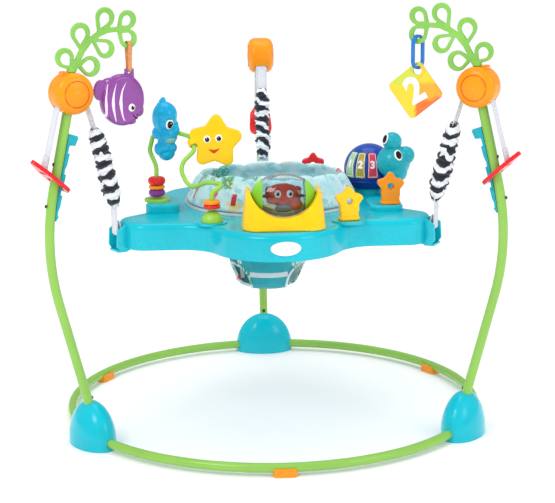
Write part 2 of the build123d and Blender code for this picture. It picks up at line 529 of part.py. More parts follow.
# ---------------------------------------------------------------- turtle with three keys
TX, TY = 214.0, 76.0
ped = Pos(TX, TY, TRAY_Z1 + 0.02) * Cylinder(33, 14, align=(Align.CENTER, Align.CENTER, Align.MIN))
ped = fillet(ped.edges().group_by(Axis.Z)[-1], 4)
save("turtle_pedestal", ped)
ZT = TRAY_Z1 + 14.1
SH_R, SH_C = 54.0, 38.0
above = Box(200, 200, 200, align=(Align.CENTER, Align.CENTER, Align.MIN))
place = Pos(TX, TY, ZT)
shell = Pos(0, 0, SH_C) * (Sphere(SH_R) - Sphere(SH_R - 3.5)) & above
shell = shell + Cylinder(38, 4, align=(Align.CENTER, Align.CENTER, Align.MIN))
KEY_AZ = (216, 244, 272)
keys = []


def wedge(a, extra):
    # tapered key outline, pushed outwards along the key's own direction
    el = radians(16)
    n = Vector(cos(radians(a)) * cos(el), sin(radians(a)) * cos(el), sin(el))
    pl = Plane(origin=(0, 0, SH_C), x_dir=(-sin(radians(a)), cos(radians(a)), 0), z_dir=n)
    w0, w1, h0, h1 = 10.7 + extra, 7.4 + extra, -27.0 - extra, 27.0 + extra
    f = make_face(Polyline((-w0, h0), (w0, h0), (w1, h1), (-w1, h1), close=True))
    f = fillet(f.vertices(), 2.5)
    return pl * Pos(0, 0, 30) * extrude(f, amount=50), n


for a in KEY_AZ:
    wd, n = wedge(a, 0.0)
    keys.append(wd & (Pos(0, 0, SH_C) * (Sphere(SH_R + 2.6) - Sphere(SH_R - 2.5))))
    shell = shell - wedge(a, 0.7)[0]
save("turtle_shell", place * sorted(shell.solids(), key=lambda q: q.volume)[-1])
for nm, kk in zip(("one", "two", "three"), keys):
    save("key_" + nm, place * sorted(kk.solids(), key=lambda q: q.volume)[-1])
save("turtle_speaker", place * Pos(6, 6, 4.2) * Cylinder(22, 22, align=(Align.CENTER, Align.CENTER, Align.MIN)))
hd = Pos(257, 0, 527) * Sphere(35.5) + Pos(253, -8, 570) * Sphere(20) + Pos(281, -10, 541) * Sphere(19)
hd = hd + Pos(262, -11, 507) * Sphere(23) + cyl((247, 34, 449), (253, 12, 505), 13)
hd = hd - place * Pos(0, 0, SH_C) * Sphere(SH_R + 0.6) - place * Cylinder(34.2, 60) - Pos(0, 0, 348.2) * Box(900, 900, 200)
save("turtle_head", sorted(hd.solids(), key=lambda q: q.volume)[-1])

# ---------------------------------------------------------------- leaf arms
STEM = [(447, 751), (443, 757), (436.5, 769), (426.8, 786), (411, 804), (392, 816), (372, 823), (347.6, 824)]
LEAF_BAND, LEAF_SHIFT = 8.0, 2.5


def leaf2d(base_pt, mid, rb):
    # hollow teardrop: a point at its base and a round end of radius rb about mid
    L = hypot(mid[0] - base_pt[0], mid[1] - base_pt[1])
    a = degrees(atan2(mid[1] - base_pt[1], mid[0] - base_pt[0]))
    o = make_hull((Pos(L, 0) * Circle(rb)).edges() + (Pos(3.0, 0) * Circle(3.5)).edges())
    n = make_hull((Pos(L - LEAF_SHIFT, 0) * Circle(rb - LEAF_BAND)).edges() + (Pos(11.0, 0) * Circle(1.4)).edges())
    return Pos(*base_pt) * Rot(0, 0, a) * (o - n)


def thick_line(pts, w0, w1):
    s = None
    n = len(pts)
    for i in range(n - 1):
        a = w0 + (w1 - w0) * i / (n - 1)
        b = w0 + (w1 - w0) * (i + 1) / (n - 1)
        h = make_hull((Pos(*pts[i]) * Circle(a / 2)).edges() + (Pos(*pts[i + 1]) * Circle(b / 2)).edges())
        s = h if s is None else s + h
    return s


LEAVES = [  # base, centre of the round end, its radius
    ((447.5, 753), (463.5, 776), 19.0),    # outer low
    ((429, 789), (428.5, 821), 20.0),      # outer middle
    ((390, 819), (375.0, 848), 19.5),      # outer high
    ((347.6, 825), (326.8, 841.5), 18.0),  # top of the tip
    ((347.6, 822), (326.5, 804.5), 18.5),  # bottom of the tip
    ((404, 807), (376.0, 788), 18.5),      # inner high
    ((438, 760), (409.5, 756.5), 20.0),    # inner low
]
sk = thick_line(STEM, 12, 9.5)
for b_, m_, r_ in LEAVES:
    sk = sk + leaf2d(b_, m_, r_)
arm = extrude(Plane.XZ * sk, amount=3.6, both=True)
collar2 = cyl((ARM_R, 0, HUB[1] + 31.4), (ARM_R, 0, HUB[1] + 46), 7.0)
flange = cyl((ARM_R, 0, HUB[1] + 40.4), (ARM_R, 0, HUB[1] + 44), 10)
arm = arm + (collar2 + flange)
arm = arm - Pos(ROLL_C[0], 0, ROLL_C[1]) * Rot(90, 0, 0) * Cylinder(26, 60)
print("arm solids", len(arm.solids()))
save("leaf_arms", [Rot(0, 0, a) * arm for a in LEG_AZ[:2]])

# ---------------------------------------------------------------- fish, link and number tile
# both hang on the low leaf at an arm's tip, where its end wall is lowest
b_, m_, r_ = LEAVES[4]
tl_ = hypot(m_[0] - b_[0], m_[1] - b_[1])
ux, uz = (m_[0] - b_[0]) / tl_, (m_[1] - b_[1]) / tl_
wall_lo = m_[1] - r_
wall_hi = m_[1] - LEAF_SHIFT * uz - sqrt((r_ - LEAF_BAND) ** 2 - (LEAF_SHIFT * ux) ** 2)
HANG = (m_[0], (wall_lo + wall_hi) / 2)
print("wall", wall_lo, wall_hi)
print("hang", HANG)


def loop_yz(length, width, wall, depth, x, z_top_centre, yaw):
    # upright slot-shaped loop whose upper bend is centred at z_top_centre
    f = SlotOverall(length, width, rotation=90) - SlotOverall(length - 2 * wall, width - 2 * wall, rotation=90)
    f = Pos(0, -(length / 2 - width / 2)) * f
    pl = Plane(origin=(0, 0, 0), x_dir=(0, 1, 0), z_dir=(1, 0, 0))
    return Pos(x, 0, z_top_centre) * Rot(0, 0, yaw) * extrude(pl * f, amount=depth / 2, both=True)


STRAP_C = HANG[1] + 1.4                # centre of the strap's upper bend
fstrap = loop_yz(63.7, 17.8, 1.6, 8.2, HANG[0], STRAP_C, 0)
save("fish_strap", Rot(0, 0, LEG_AZ[0]) * fstrap)
F_TOP = STRAP_C + 8.9 - 63.7 + 1.6      # inside of the strap's lower bend
FC = (HANG[0] + 17.5, F_TOP - 52.0)   # centre of the disc body
FISH_A, FISH_B, FISH_T = 46.5, 50.5, 12.0
fish = extrude(Plane.XZ * (Pos(*FC) * Ellipse(FISH_A, FISH_B)), amount=FISH_T, both=True)
fish = fillet(fish.edges(), 9)
tail = extrude(Plane.XZ * (Pos(FC[0] + 47, FC[1] + 22) * Rot(0, 0, 10) * Ellipse(13, 20)), amount=4, both=True)
fish = fish + tail
eyelet = Pos(HANG[0], 0, F_TOP - 4) * (Box(18, 9.0, 24))
fish = fish + eyelet
slot_y = loop_yz(65.7, 19.8, 3.6, 9.6, HANG[0], STRAP_C + 0.4, 0)
fish = fish - slot_y
fish = sorted(fish.solids(), key=lambda q: q.volume)[-1]
save("fish_toy", Rot(0, 0, LEG_AZ[0]) * fish)

LINK_L = 68.0
LINK_C = HANG[1] - 3.2
lk = loop_yz(LINK_L, 34, 6, 5.2, HANG[0], LINK_C, -20)
save("link_ring", Rot(0, 0, LEG_AZ[1]) * lk)
W_TOP = LINK_C + 17 - LINK_L + 6            # top of the link's lower bend
T_HOLE = (HANG[0], W_TOP + 2.2 - 9.5)
TILE_C = (HANG[0] - 4, T_HOLE[1] - 40)
tl = extrude(Plane.XZ * (Pos(TILE_C[0], TILE_C[1]) * Rot(0, 0, 38) * RectangleRounded(85, 85, 10)), amount=3, both=True)
tl = fillet(tl.edges().group_by(Axis.Y)[0] + tl.edges().group_by(Axis.Y)[-1], 1.5)
tl = tl - Pos(T_HOLE[0], 0, T_HOLE[1]) * Rot(90, 0, 0) * Cylinder(9.5, 40)
save("number_tile", Rot(0, 0, LEG_AZ[1]) * tl)
print("pivots fish/link", HANG, "tile", (HANG[0], W_TOP - 3))

# ---------------------------------------------------------------- oval badge, left blank
bd = extrude(Plane(origin=(RC[0], -330, 421), x_dir=(1, 0, 0), z_dir=(0, -1, 0)) * Ellipse(29, 13.5), amount=30)
shellb = Pos(0, BULGE_Y, 421) * (Cylinder(BULGE_R + 1.7, 60) - Cylinder(BULGE_R + 0.05, 60))
bd = bd & shellb
save("badge", sorted(bd.solids(), key=lambda q: q.volume)[-1])
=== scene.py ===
import bpy, bmesh, math
from math import sin, cos, pi, radians, sqrt, atan2, hypot
from mathutils import Vector, Matrix, noise
from mathutils.bvhtree import BVHTree


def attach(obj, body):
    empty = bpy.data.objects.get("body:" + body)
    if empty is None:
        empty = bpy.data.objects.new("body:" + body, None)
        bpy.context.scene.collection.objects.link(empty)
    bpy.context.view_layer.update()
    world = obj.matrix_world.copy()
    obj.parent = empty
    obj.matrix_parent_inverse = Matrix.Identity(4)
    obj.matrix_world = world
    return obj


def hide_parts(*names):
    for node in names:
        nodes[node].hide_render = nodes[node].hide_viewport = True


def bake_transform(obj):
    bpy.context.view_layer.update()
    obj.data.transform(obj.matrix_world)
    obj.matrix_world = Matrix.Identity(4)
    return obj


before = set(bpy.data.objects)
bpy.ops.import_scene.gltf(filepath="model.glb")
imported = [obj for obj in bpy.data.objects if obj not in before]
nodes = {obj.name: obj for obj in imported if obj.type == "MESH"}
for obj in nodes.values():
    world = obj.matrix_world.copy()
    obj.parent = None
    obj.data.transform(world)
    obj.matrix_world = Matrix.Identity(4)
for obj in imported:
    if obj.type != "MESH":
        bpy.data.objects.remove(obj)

scene = bpy.context.scene
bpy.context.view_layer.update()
SY = -0.045                       # ring axis to the origin of the row frame


def V(x, y, z):
    """millimetres about the ring's axis -> metres in the row frame"""
    return Vector((x / 1000, y / 1000 + SY, z / 1000))


def L(az, r, t, z):
    """leg frame: r outwards, t sideways, z up, in millimetres"""
    a = radians(az)
    return V(r * cos(a) - t * sin(a), r * sin(a) + t * cos(a), z)


def link(ob):
    scene.collection.objects.link(ob)
    return ob


def lin(c):
    return tuple(((v / 255) / 12.92 if v / 255 <= 0.04045 else (((v / 255) + 0.055) / 1.055) ** 2.4) for v in c) + (1.0,)


def mixc(a, b, t):
    return tuple(x + (y - x) * t for x, y in zip(a, b))


# ------------------------------------------------------------------ materials
class M:
    """a small wrapper for building node materials"""

    def __init__(self, name):
        self.mat = bpy.data.materials.new(name)
        self.mat.use_nodes = True
        self.nt = self.mat.node_tree
        self.nt.nodes.clear()
        self.out = self.n("ShaderNodeOutputMaterial")
        self.bsdf = self.n("ShaderNodeBsdfPrincipled")
        self.l(self.bsdf.outputs[0], self.out.inputs[0])
        self.tc = self.n("ShaderNodeTexCoord")

    def n(self, kind, **kw):
        node = self.nt.nodes.new(kind)
        for k, v in kw.items():
            setattr(node, k, v)
        return node

    def l(self, a, b):
        self.nt.links.new(a, b)

    def val(self, sock, v):
        self.bsdf.inputs[sock].default_value = v

    def noise(self, scale, detail=3, rough=0.5, vec=None, dist=0.0):
        t = self.n("ShaderNodeTexNoise")
        t.inputs["Scale"].default_value = scale
        t.inputs["Detail"].default_value = detail
        t.inputs["Roughness"].default_value = rough
        t.inputs["Distortion"].default_value = dist
        self.l(vec or self.tc.outputs["Object"], t.inputs["Vector"])
        return t.outputs["Fac"]

    def ramp(self, fac, stops, mode="LINEAR"):
        r = self.n("ShaderNodeValToRGB")
        r.color_ramp.interpolation = mode
        el = r.color_ramp.elements
        while len(el) < len(stops):
            el.new(0.5)
        for e, (p, c) in zip(el, stops):
            e.position = p
            e.color = c if len(c) == 4 else tuple(c) + (1,)
        self.l(fac, r.inputs[0])
        return r.outputs[0]

    def math(self, op, a, b=0.0, c=0.0, clamp=False):
        m = self.n("ShaderNodeMath", operation=op, use_clamp=clamp)
        for i, v in enumerate((a, b, c)):
            if hasattr(v, "is_output"):
                self.l(v, m.inputs[i])
            else:
                m.inputs[i].default_value = v
        return m.outputs[0]

    def mix(self, fac, a, b, mode="MIX"):
        m = self.n("ShaderNodeMix", data_type="RGBA", blend_type=mode)
        for s, v in ((m.inputs[0], fac), (m.inputs[6], a), (m.inputs[7], b)):
            if hasattr(v, "is_output"):
                self.l(v, s)
            else:
                s.default_value = v
        return m.outputs[2]

    def remap(self, v, a0, a1, b0, b1):
        m = self.n("ShaderNodeMapRange")
        self.l(v, m.inputs[0])
        for i, x in enumerate((a0, a1, b0, b1)):
            m.inputs[i + 1].default_value = x
        return m.outputs[0]

    def color(self, out):
        self.l(out, self.bsdf.inputs["Base Color"])

    def rough(self, out):
        self.l(out, self.bsdf.inputs["Roughness"])

    def bump(self, h, dist=0.0003, strength=1.0, prev=None):
        b = self.n("ShaderNodeBump")
        b.inputs["Distance"].default_value = dist
        b.inputs["Strength"].default_value = strength
        self.l(h, b.inputs["Height"])
        if prev is not None:
            self.l(prev, b.inputs["Normal"])
        return b.outputs[0]

    def normal(self, out):
        self.l(out, self.bsdf.inputs["Normal"])

    def dot(self, vec, d):
        m = self.n("ShaderNodeVectorMath", operation="DOT_PRODUCT")
        self.l(vec, m.inputs[0])
        m.inputs[1].default_value = d
        return m.outputs["Value"]


MATS = {}


def plastic(name, rgb, dark=0.86, light=1.06, rough=0.24, coat=0.35, scale=14.0, peel=0.00005, sss=0.0, ior=1.48):
    m = M(name)
    c = lin(rgb)
    lo = tuple(min(1, x * dark) for x in c[:3]) + (1,)
    hi = tuple(min(1, x * light + 0.004) for x in c[:3]) + (1,)
    flow = m.noise(scale, 3, 0.55, dist=0.6)
    base = m.ramp(flow, ((0.30, lo), (0.72, hi)))
    # handling marks: worn, slightly paler edges
    geo = m.n("ShaderNodeNewGeometry")
    edge = m.ramp(geo.outputs["Pointiness"], ((0.53, (0, 0, 0, 1)), (0.62, (1, 1, 1, 1))))
    wearn = m.noise(160, 4, 0.6)
    wear = m.math("MULTIPLY", edge, m.remap(wearn, 0.42, 0.7, 0.0, 0.30))
    m.color(m.mix(wear, base, tuple(min(1, x * 1.25 + 0.05) for x in c[:3]) + (1,)))
    fine = m.noise(420, 5, 0.6)
    blot = m.noise(38, 4, 0.6)
    r = m.math("ADD", m.remap(blot, 0.3, 0.7, rough - 0.05, rough + 0.07), m.remap(fine, 0.3, 0.7, -0.02, 0.03))
    m.rough(r)
    m.val("Coat Weight", coat * 0.55)
    m.val("Specular IOR Level", 0.28)
    m.val("Coat Roughness", 0.12)
    m.val("IOR", ior)
    if sss:
        m.val("Subsurface Weight", sss)
        m.val("Subsurface Radius", (0.004, 0.003, 0.002))
        m.val("Subsurface Scale", 1.0)
    b = m.bump(m.noise(900, 3, 0.5), peel, 0.5)
    b = m.bump(m.noise(60, 3, 0.5), peel * 5, 0.35, b)
    m.normal(b)
    MATS[name] = m.mat
    return m.mat


def coated_steel(name, rgb):
    m = M(name)
    c = lin(rgb)
    peel = m.noise(260, 4, 0.55)
    big = m.noise(9, 3, 0.5)
    m.color(m.mix(m.remap(big, 0.3, 0.7, 0.0, 0.6), c, tuple(min(1, x * 0.82) for x in c[:3]) + (1,)))
    m.rough(m.remap(m.noise(50, 4, 0.6), 0.3, 0.7, 0.27, 0.40))
    m.val("Coat Weight", 0.45)
    m.val("Coat Roughness", 0.2)
    b = m.bump(peel, 0.00018, 0.5)
    b = m.bump(m.noise(1400, 3, 0.5), 0.00005, 0.6, b)
    m.normal(b)
    MATS[name] = m.mat
    return m.mat


def steel(name, rgb, rough=0.3):
    m = M(name)
    c = lin(rgb)
    mp = m.n("ShaderNodeMapping")
    m.l(m.tc.outputs["Object"], mp.inputs["Vector"])
    mp.inputs["Scale"].default_value = (1, 1, 14)
    s = m.noise(220, 5, 0.6, mp.outputs[0])
    m.color(m.ramp(s, ((0.3, tuple(x * 0.75 for x in c[:3])), (0.7, c))))
    m.rough(m.remap(s, 0.3, 0.7, rough - 0.08, rough + 0.12))
    m.val("Metallic", 1.0)
    m.normal(m.bump(s, 0.00006, 0.6))
    MATS[name] = m.mat
    return m.mat


def weave_height(m, uv, period, over=2.0):
    """two crossed sets of threads with the uv in metres"""
    sep = m.n("ShaderNodeSeparateXYZ")
    m.l(uv, sep.inputs[0])
    k = 2 * pi / period
    su = m.math("SINE", m.math("MULTIPLY", sep.outputs[0], k))
    sv = m.math("SINE", m.math("MULTIPLY", sep.outputs[1], k * 1.0))
    prod = m.math("MULTIPLY", su, sv)
    tw = m.math("SINE", m.math("MULTIPLY", m.math("ADD", sep.outputs[0], sep.outputs[1]), k * over))
    return m.math("ADD", m.math("MULTIPLY", prod, 0.7), m.math("MULTIPLY", tw, 0.3)), sep


def webbing(name, rgb, stitch=(70, 90, 130), width=0.025):
    m = M(name)
    c = lin(rgb)
    uv = m.tc.outputs["UV"]
    h, sep = weave_height(m, uv, 0.0016)
    band = m.math("SINE", m.math("MULTIPLY", sep.outputs[0], 2 * pi / 0.0062))
    tone = m.remap(h, -1, 1, 0.80, 1.0)
    fuzz = m.noise(700, 4, 0.6)
    col = m.mix(m.remap(fuzz, 0.3, 0.75, 0.0, 0.35), c, tuple(x * 0.72 for x in c[:3]) + (1,))
    g = m.n("ShaderNodeCombineXYZ")
    for i in range(3):
        m.l(tone, g.inputs[i])
    col = m.mix(1.0, col, g.outputs[0], "MULTIPLY")
    # two rows of dashed thread near the edges
    e = m.math("SUBTRACT", m.math("ABSOLUTE", sep.outputs[0]), width / 2 - 0.0032)
    row = m.math("LESS_THAN", m.math("ABSOLUTE", e), 0.00045)
    dash = m.math("GREATER_THAN", m.math("SINE", m.math("MULTIPLY", sep.outputs[1], 2 * pi / 0.0042)), -0.3)
    st = m.math("MULTIPLY", row, dash)
    col = m.mix(m.math("MULTIPLY", st, 0.55), col, lin(stitch))
    m.color(col)
    m.rough(m.remap(fuzz, 0.3, 0.7, 0.72, 0.92))
    m.val("Sheen Weight", 0.35)
    m.val("Sheen Roughness", 0.5)
    b = m.bump(h, 0.00028, 0.8)
    b = m.bump(band, 0.0003, 0.5, b)
    b = m.bump(st, 0.0004, 0.8, b)
    m.normal(m.bump(fuzz, 0.0002, 0.4, b))
    MATS[name] = m.mat
    return m.mat


def zebra(name):
    m = M(name)
    uv = m.tc.outputs["UV"]
    warp = m.n("ShaderNodeTexNoise", noise_dimensions="3D")
    warp.inputs["Scale"].default_value = 26
    warp.inputs["Detail"].default_value = 2
    m.l(uv, warp.inputs["Vector"])
    sep = m.n("ShaderNodeSeparateXYZ")
    m.l(uv, sep.inputs[0])
    wv = m.remap(warp.outputs["Fac"], 0.25, 0.75, -0.0105, 0.0105)
    ang = m.math("MULTIPLY", m.math("SINE", m.math("MULTIPLY", sep.outputs[0], 2 * pi / 0.119)), 0.006)
    v = m.math("ADD", m.math("ADD", sep.outputs[1], wv), ang)
    s = m.math("SINE", m.math("MULTIPLY", v, 2 * pi / 0.0265))
    s2 = m.math("ADD", s, m.remap(m.noise(30, 1, 0.5, uv), 0.3, 0.7, -0.35, 0.35))
    col = m.ramp(m.remap(s2, -1, 1, 0, 1), ((0.0, lin((22, 26, 42))), (0.485, lin((30, 34, 52))), (0.53, lin((232, 236, 246))), (1.0, lin((248, 249, 252)))))
    h, _ = weave_height(m, uv, 0.0013)
    fuzz = m.noise(800, 4, 0.6)
    g = m.n("ShaderNodeCombineXYZ")
    t = m.remap(h, -1, 1, 0.86, 1.0)
    for i in range(3):
        m.l(t, g.inputs[i])
    m.color(m.mix(1.0, col, g.outputs[0], "MULTIPLY"))
    m.rough(m.remap(fuzz, 0.3, 0.7, 0.7, 0.9))
    m.val("Sheen Weight", 0.3)
    m.val("Sheen Roughness", 0.45)
    b = m.bump(h, 0.00022, 0.7)
    b = m.bump(m.noise(90, 5, 0.65), 0.0016, 0.6, b)
    m.normal(b)
    MATS[name] = m.mat
    return m.mat


def blobs(m, vec, scale, size, soft, seed, wob=0.0):
    """scattered soft-edged spots, and a random number for each of them"""
    mp = m.n("ShaderNodeMapping")
    m.l(vec, mp.inputs["Vector"])
    mp.inputs["Location"].default_value = (seed, seed * 0.7, seed * 1.3)
    v = mp.outputs[0]
    if wob:
        w = m.n("ShaderNodeTexNoise")
        w.inputs["Scale"].default_value = scale * 3.2
        w.inputs["Detail"].default_value = 2
        m.l(v, w.inputs["Vector"])
        sc = m.n("ShaderNodeVectorMath", operation="SCALE")
        m.l(w.outputs["Color"], sc.inputs[0])
        sc.inputs["Scale"].default_value = wob / scale
        ad = m.n("ShaderNodeVectorMath", operation="ADD")
        m.l(v, ad.inputs[0])
        m.l(sc.outputs[0], ad.inputs[1])
        v = ad.outputs[0]
    t = m.n("ShaderNodeTexVoronoi")
    t.inputs["Scale"].default_value = scale
    t.inputs["Randomness"].default_value = 0.9
    m.l(v, t.inputs["Vector"])
    d = t.outputs["Distance"]
    spot = m.ramp(d, ((max(0.0, size - soft), (1, 1, 1, 1)), (size, (0, 0, 0, 1))))
    sp = m.n("ShaderNodeSeparateColor")
    m.l(t.outputs["Color"], sp.inputs[0])
    return spot, sp.outputs[0], sp.outputs[1]


def sea_print(name, base=(178, 222, 230), deep=(120, 196, 210)):
    """pale aqua cotton printed with watercolour weed, coral, little crabs and sand spots"""
    m = M(name)
    ob = m.tc.outputs["Object"]
    wash = m.noise(11, 5, 0.6, dist=1.2)
    col = m.ramp(wash, ((0.30, lin(deep)), (0.46, lin(base)), (0.62, lin((208, 234, 238))), (0.8, lin(base))))
    # dabs of the brush
    dab, rnd, rnd2 = blobs(m, ob, 42, 0.40, 0.10, 3.1, 0.9)
    keep = m.math("GREATER_THAN", rnd, 0.42)
    col = m.mix(m.math("MULTIPLY", m.math("MULTIPLY", dab, keep), 0.45), col, lin((62, 168, 186)))
    # yellow sand spots
    spot, r1, r2 = blobs(m, ob, 17, 0.30, 0.12, 7.7, 0.5)
    keep = m.math("GREATER_THAN", r1, 0.62)
    col = m.mix(m.math("MULTIPLY", m.math("MULTIPLY", spot, keep), 0.75), col, lin((240, 196, 70)))
    # weed and coral: branching ridges inside scattered patches
    patch, r3, r4 = blobs(m, ob, 12.5, 0.44, 0.05, 1.9, 0.8)
    keep = m.math("GREATER_THAN", r3, 0.44)
    mp = m.n("ShaderNodeMapping")
    m.l(ob, mp.inputs["Vector"])
    mp.inputs["Scale"].default_value = (1.0, 1.0, 0.55)
    rid = m.noise(58, 2, 0.5, mp.outputs[0], 2.2)
    rid = m.math("ABSOLUTE", m.math("SUBTRACT", rid, 0.5))
    branch = m.ramp(rid, ((0.055, (1, 1, 1, 1)), (0.085, (0, 0, 0, 1))))
    weed = m.math("MULTIPLY", m.math("MULTIPLY", patch, keep), branch)
    wcol = m.mix(m.math("GREATER_THAN", r4, 0.45), lin((0, 128, 134)), lin((44, 150, 96)))
    col = m.mix(m.math("MULTIPLY", weed, 0.92), col, wcol)
    # small red crabs, as spots with ragged legs
    crab, r5, r6 = blobs(m, ob, 19, 0.25, 0.04, 12.4, 1.2)
    keep = m.math("GREATER_THAN", r5, 0.80)
    col = m.mix(m.math("MULTIPLY", m.math("MULTIPLY", crab, keep), 0.9), col, lin((206, 52, 62)))
    crab, r5, r6 = blobs(m, ob, 23, 0.22, 0.04, 21.4, 1.2)
    keep = m.math("GREATER_THAN", r5, 0.84)
    col = m.mix(m.math("MULTIPLY", m.math("MULTIPLY", crab, keep), 0.85), col, lin((196, 108, 60)))
    wv = m.n("ShaderNodeTexWave", wave_type="BANDS", bands_direction="X")
    wv.inputs["Scale"].default_value = 420
    m.l(ob, wv.inputs["Vector"])
    wz = m.n("ShaderNodeTexWave", wave_type="BANDS", bands_direction="Z")
    wz.inputs["Scale"].default_value = 420
    m.l(ob, wz.inputs["Vector"])
    h = m.math("ADD", wv.outputs["Fac"], wz.outputs["Fac"])
    g = m.n("ShaderNodeCombineXYZ")
    t = m.remap(h, 0, 2, 0.90, 1.02)
    for i in range(3):
        m.l(t, g.inputs[i])
    m.color(m.mix(1.0, col, g.outputs[0], "MULTIPLY"))
    fuzz = m.noise(900, 4, 0.6)
    m.rough(m.remap(fuzz, 0.3, 0.7, 0.72, 0.9))
    m.val("Sheen Weight", 0.3)
    m.val("Sheen Roughness", 0.5)
    b = m.bump(h, 0.00012, 0.6)
    b = m.bump(m.noise(34, 5, 0.62, dist=0.8), 0.006, 0.55, b)
    b = m.bump(m.noise(130, 4, 0.6), 0.0012, 0.5, b)
    m.normal(b)
    MATS[name] = m.mat
    return m.mat


def cloth(name, rgb, period=420, var=0.8, wrinkle=0.004):
    m = M(name)
    c = lin(rgb)
    ob = m.tc.outputs["Object"]
    wash = m.noise(16, 4, 0.6)
    col = m.ramp(wash, ((0.3, tuple(x * var for x in c[:3])), (0.7, tuple(min(1, x * 1.08 + 0.003) for x in c[:3]))))
    wv = m.n("ShaderNodeTexWave", wave_type="BANDS", bands_direction="X")
    wv.inputs["Scale"].default_value = period
    m.l(ob, wv.inputs["Vector"])
    wz = m.n("ShaderNodeTexWave", wave_type="BANDS", bands_direction="Z")
    wz.inputs["Scale"].default_value = period
    m.l(ob, wz.inputs["Vector"])
    h = m.math("ADD", wv.outputs["Fac"], wz.outputs["Fac"])
    g = m.n("ShaderNodeCombineXYZ")
    t = m.remap(h, 0, 2, 0.86, 1.03)
    for i in range(3):
        m.l(t, g.inputs[i])
    m.color(m.mix(1.0, col, g.outputs[0], "MULTIPLY"))
    fuzz = m.noise(900, 4, 0.6)
    m.rough(m.remap(fuzz, 0.3, 0.7, 0.68, 0.9))
    m.val("Sheen Weight", 0.3)
    m.val("Sheen Roughness", 0.5)
    b = m.bump(h, 0.00014, 0.7)
    m.normal(m.bump(m.noise(40, 5, 0.62), wrinkle, 0.5, b))
    MATS[name] = m.mat
    return m.mat


TEAL = (0, 186, 204)
plastic("teal", TEAL, rough=0.20, coat=0.35, scale=5)
plastic("teal_rack", (0, 166, 184), rough=0.34, coat=0.2)
plastic("teal_head", (16, 168, 184), rough=0.26, coat=0.4, scale=22)
plastic("orange", (252, 148, 0), rough=0.26, coat=0.25, scale=16)
plastic("seam_orange", (206, 98, 2), rough=0.4, coat=0.1, scale=16)
plastic("red", (228, 28, 38), rough=0.2, coat=0.5, scale=20)
plastic("green_bead", (150, 204, 76), rough=0.24, coat=0.4, scale=20)
plastic("leaf", (134, 196, 84), rough=0.3, coat=0.3, scale=16, sss=0.08)
plastic("cap_green", (132, 206, 60), rough=0.2, coat=0.5, scale=20)
plastic("yellow", (255, 200, 0), rough=0.24, coat=0.3, scale=12, dark=0.9)
plastic("pale", (214, 220, 222), rough=0.35, coat=0.15)
plastic("white", (246, 247, 248), rough=0.22, coat=0.4, dark=0.94, light=1.0)
plastic("purple", (134, 52, 150), rough=0.22, coat=0.5, scale=22)
plastic("blue_horse", (0, 168, 216), rough=0.2, coat=0.5, scale=20)
plastic("blue_link", (24, 120, 206), rough=0.22, coat=0.5, scale=20)
plastic("navy_shell", (10, 66, 168), rough=0.16, coat=0.6, scale=10, dark=0.72, light=1.15)
plastic("black", (10, 12, 18), rough=0.12, coat=0.6, dark=0.9, light=1.2)
plastic("mouth_red", (214, 62, 22), rough=0.3, coat=0.3, scale=60)
plastic("crab", (226, 62, 38), rough=0.34, coat=0.2, scale=30, dark=0.8)
plastic("rock", (120, 140, 148), rough=0.5, coat=0.0, scale=60, dark=0.65)
plastic("speaker", (46, 48, 54), rough=0.5, coat=0.0)
plastic("key1", (170, 208, 160), rough=0.24, coat=0.4, scale=40)
plastic("key2", (176, 158, 44), rough=0.24, coat=0.4, scale=40)
plastic("key3", (224, 60, 88), rough=0.24, coat=0.4, scale=40)
coated_steel("leg_green", (140, 194, 74))
steel("screw", (92, 94, 100), 0.34)
steel("spring", (168, 170, 174), 0.26)
webbing("webbing", (238, 241, 250))
webbing("ribbon", (244, 158, 88), stitch=(250, 200, 150), width=0.009)
zebra("zebra")
sea_print("print")
cloth("seat_teal", (0, 164, 178))
cloth("seat_dark", (14, 128, 132))
cloth("piping", (198, 30, 58), period=700, wrinkle=0.0006)
cloth("tab_red", (206, 26, 48), period=700, wrinkle=0.0004)
cloth("pale_mesh", (206, 226, 230), period=340, wrinkle=0.0006)
cloth("belt", (224, 236, 240), period=700, wrinkle=0.0004)
sea_print("tape", (222, 240, 244), (176, 218, 228))


def glassy(name):
    m = M(name)
    m.color(m.ramp(m.noise(12, 2), ((0.3, lin((226, 244, 248))), (0.7, lin((240, 250, 252))))))
    m.val("Transmission Weight", 1.0)
    m.val("IOR", 1.30)
    m.rough(m.remap(m.noise(60, 4, 0.6), 0.3, 0.75, 0.015, 0.06))
    m.val("Coat Weight", 0.3)
    m.normal(m.bump(m.noise(40, 3, 0.5), 0.00012, 0.4))
    MATS[name] = m.mat
    return m.mat


glassy("clear")


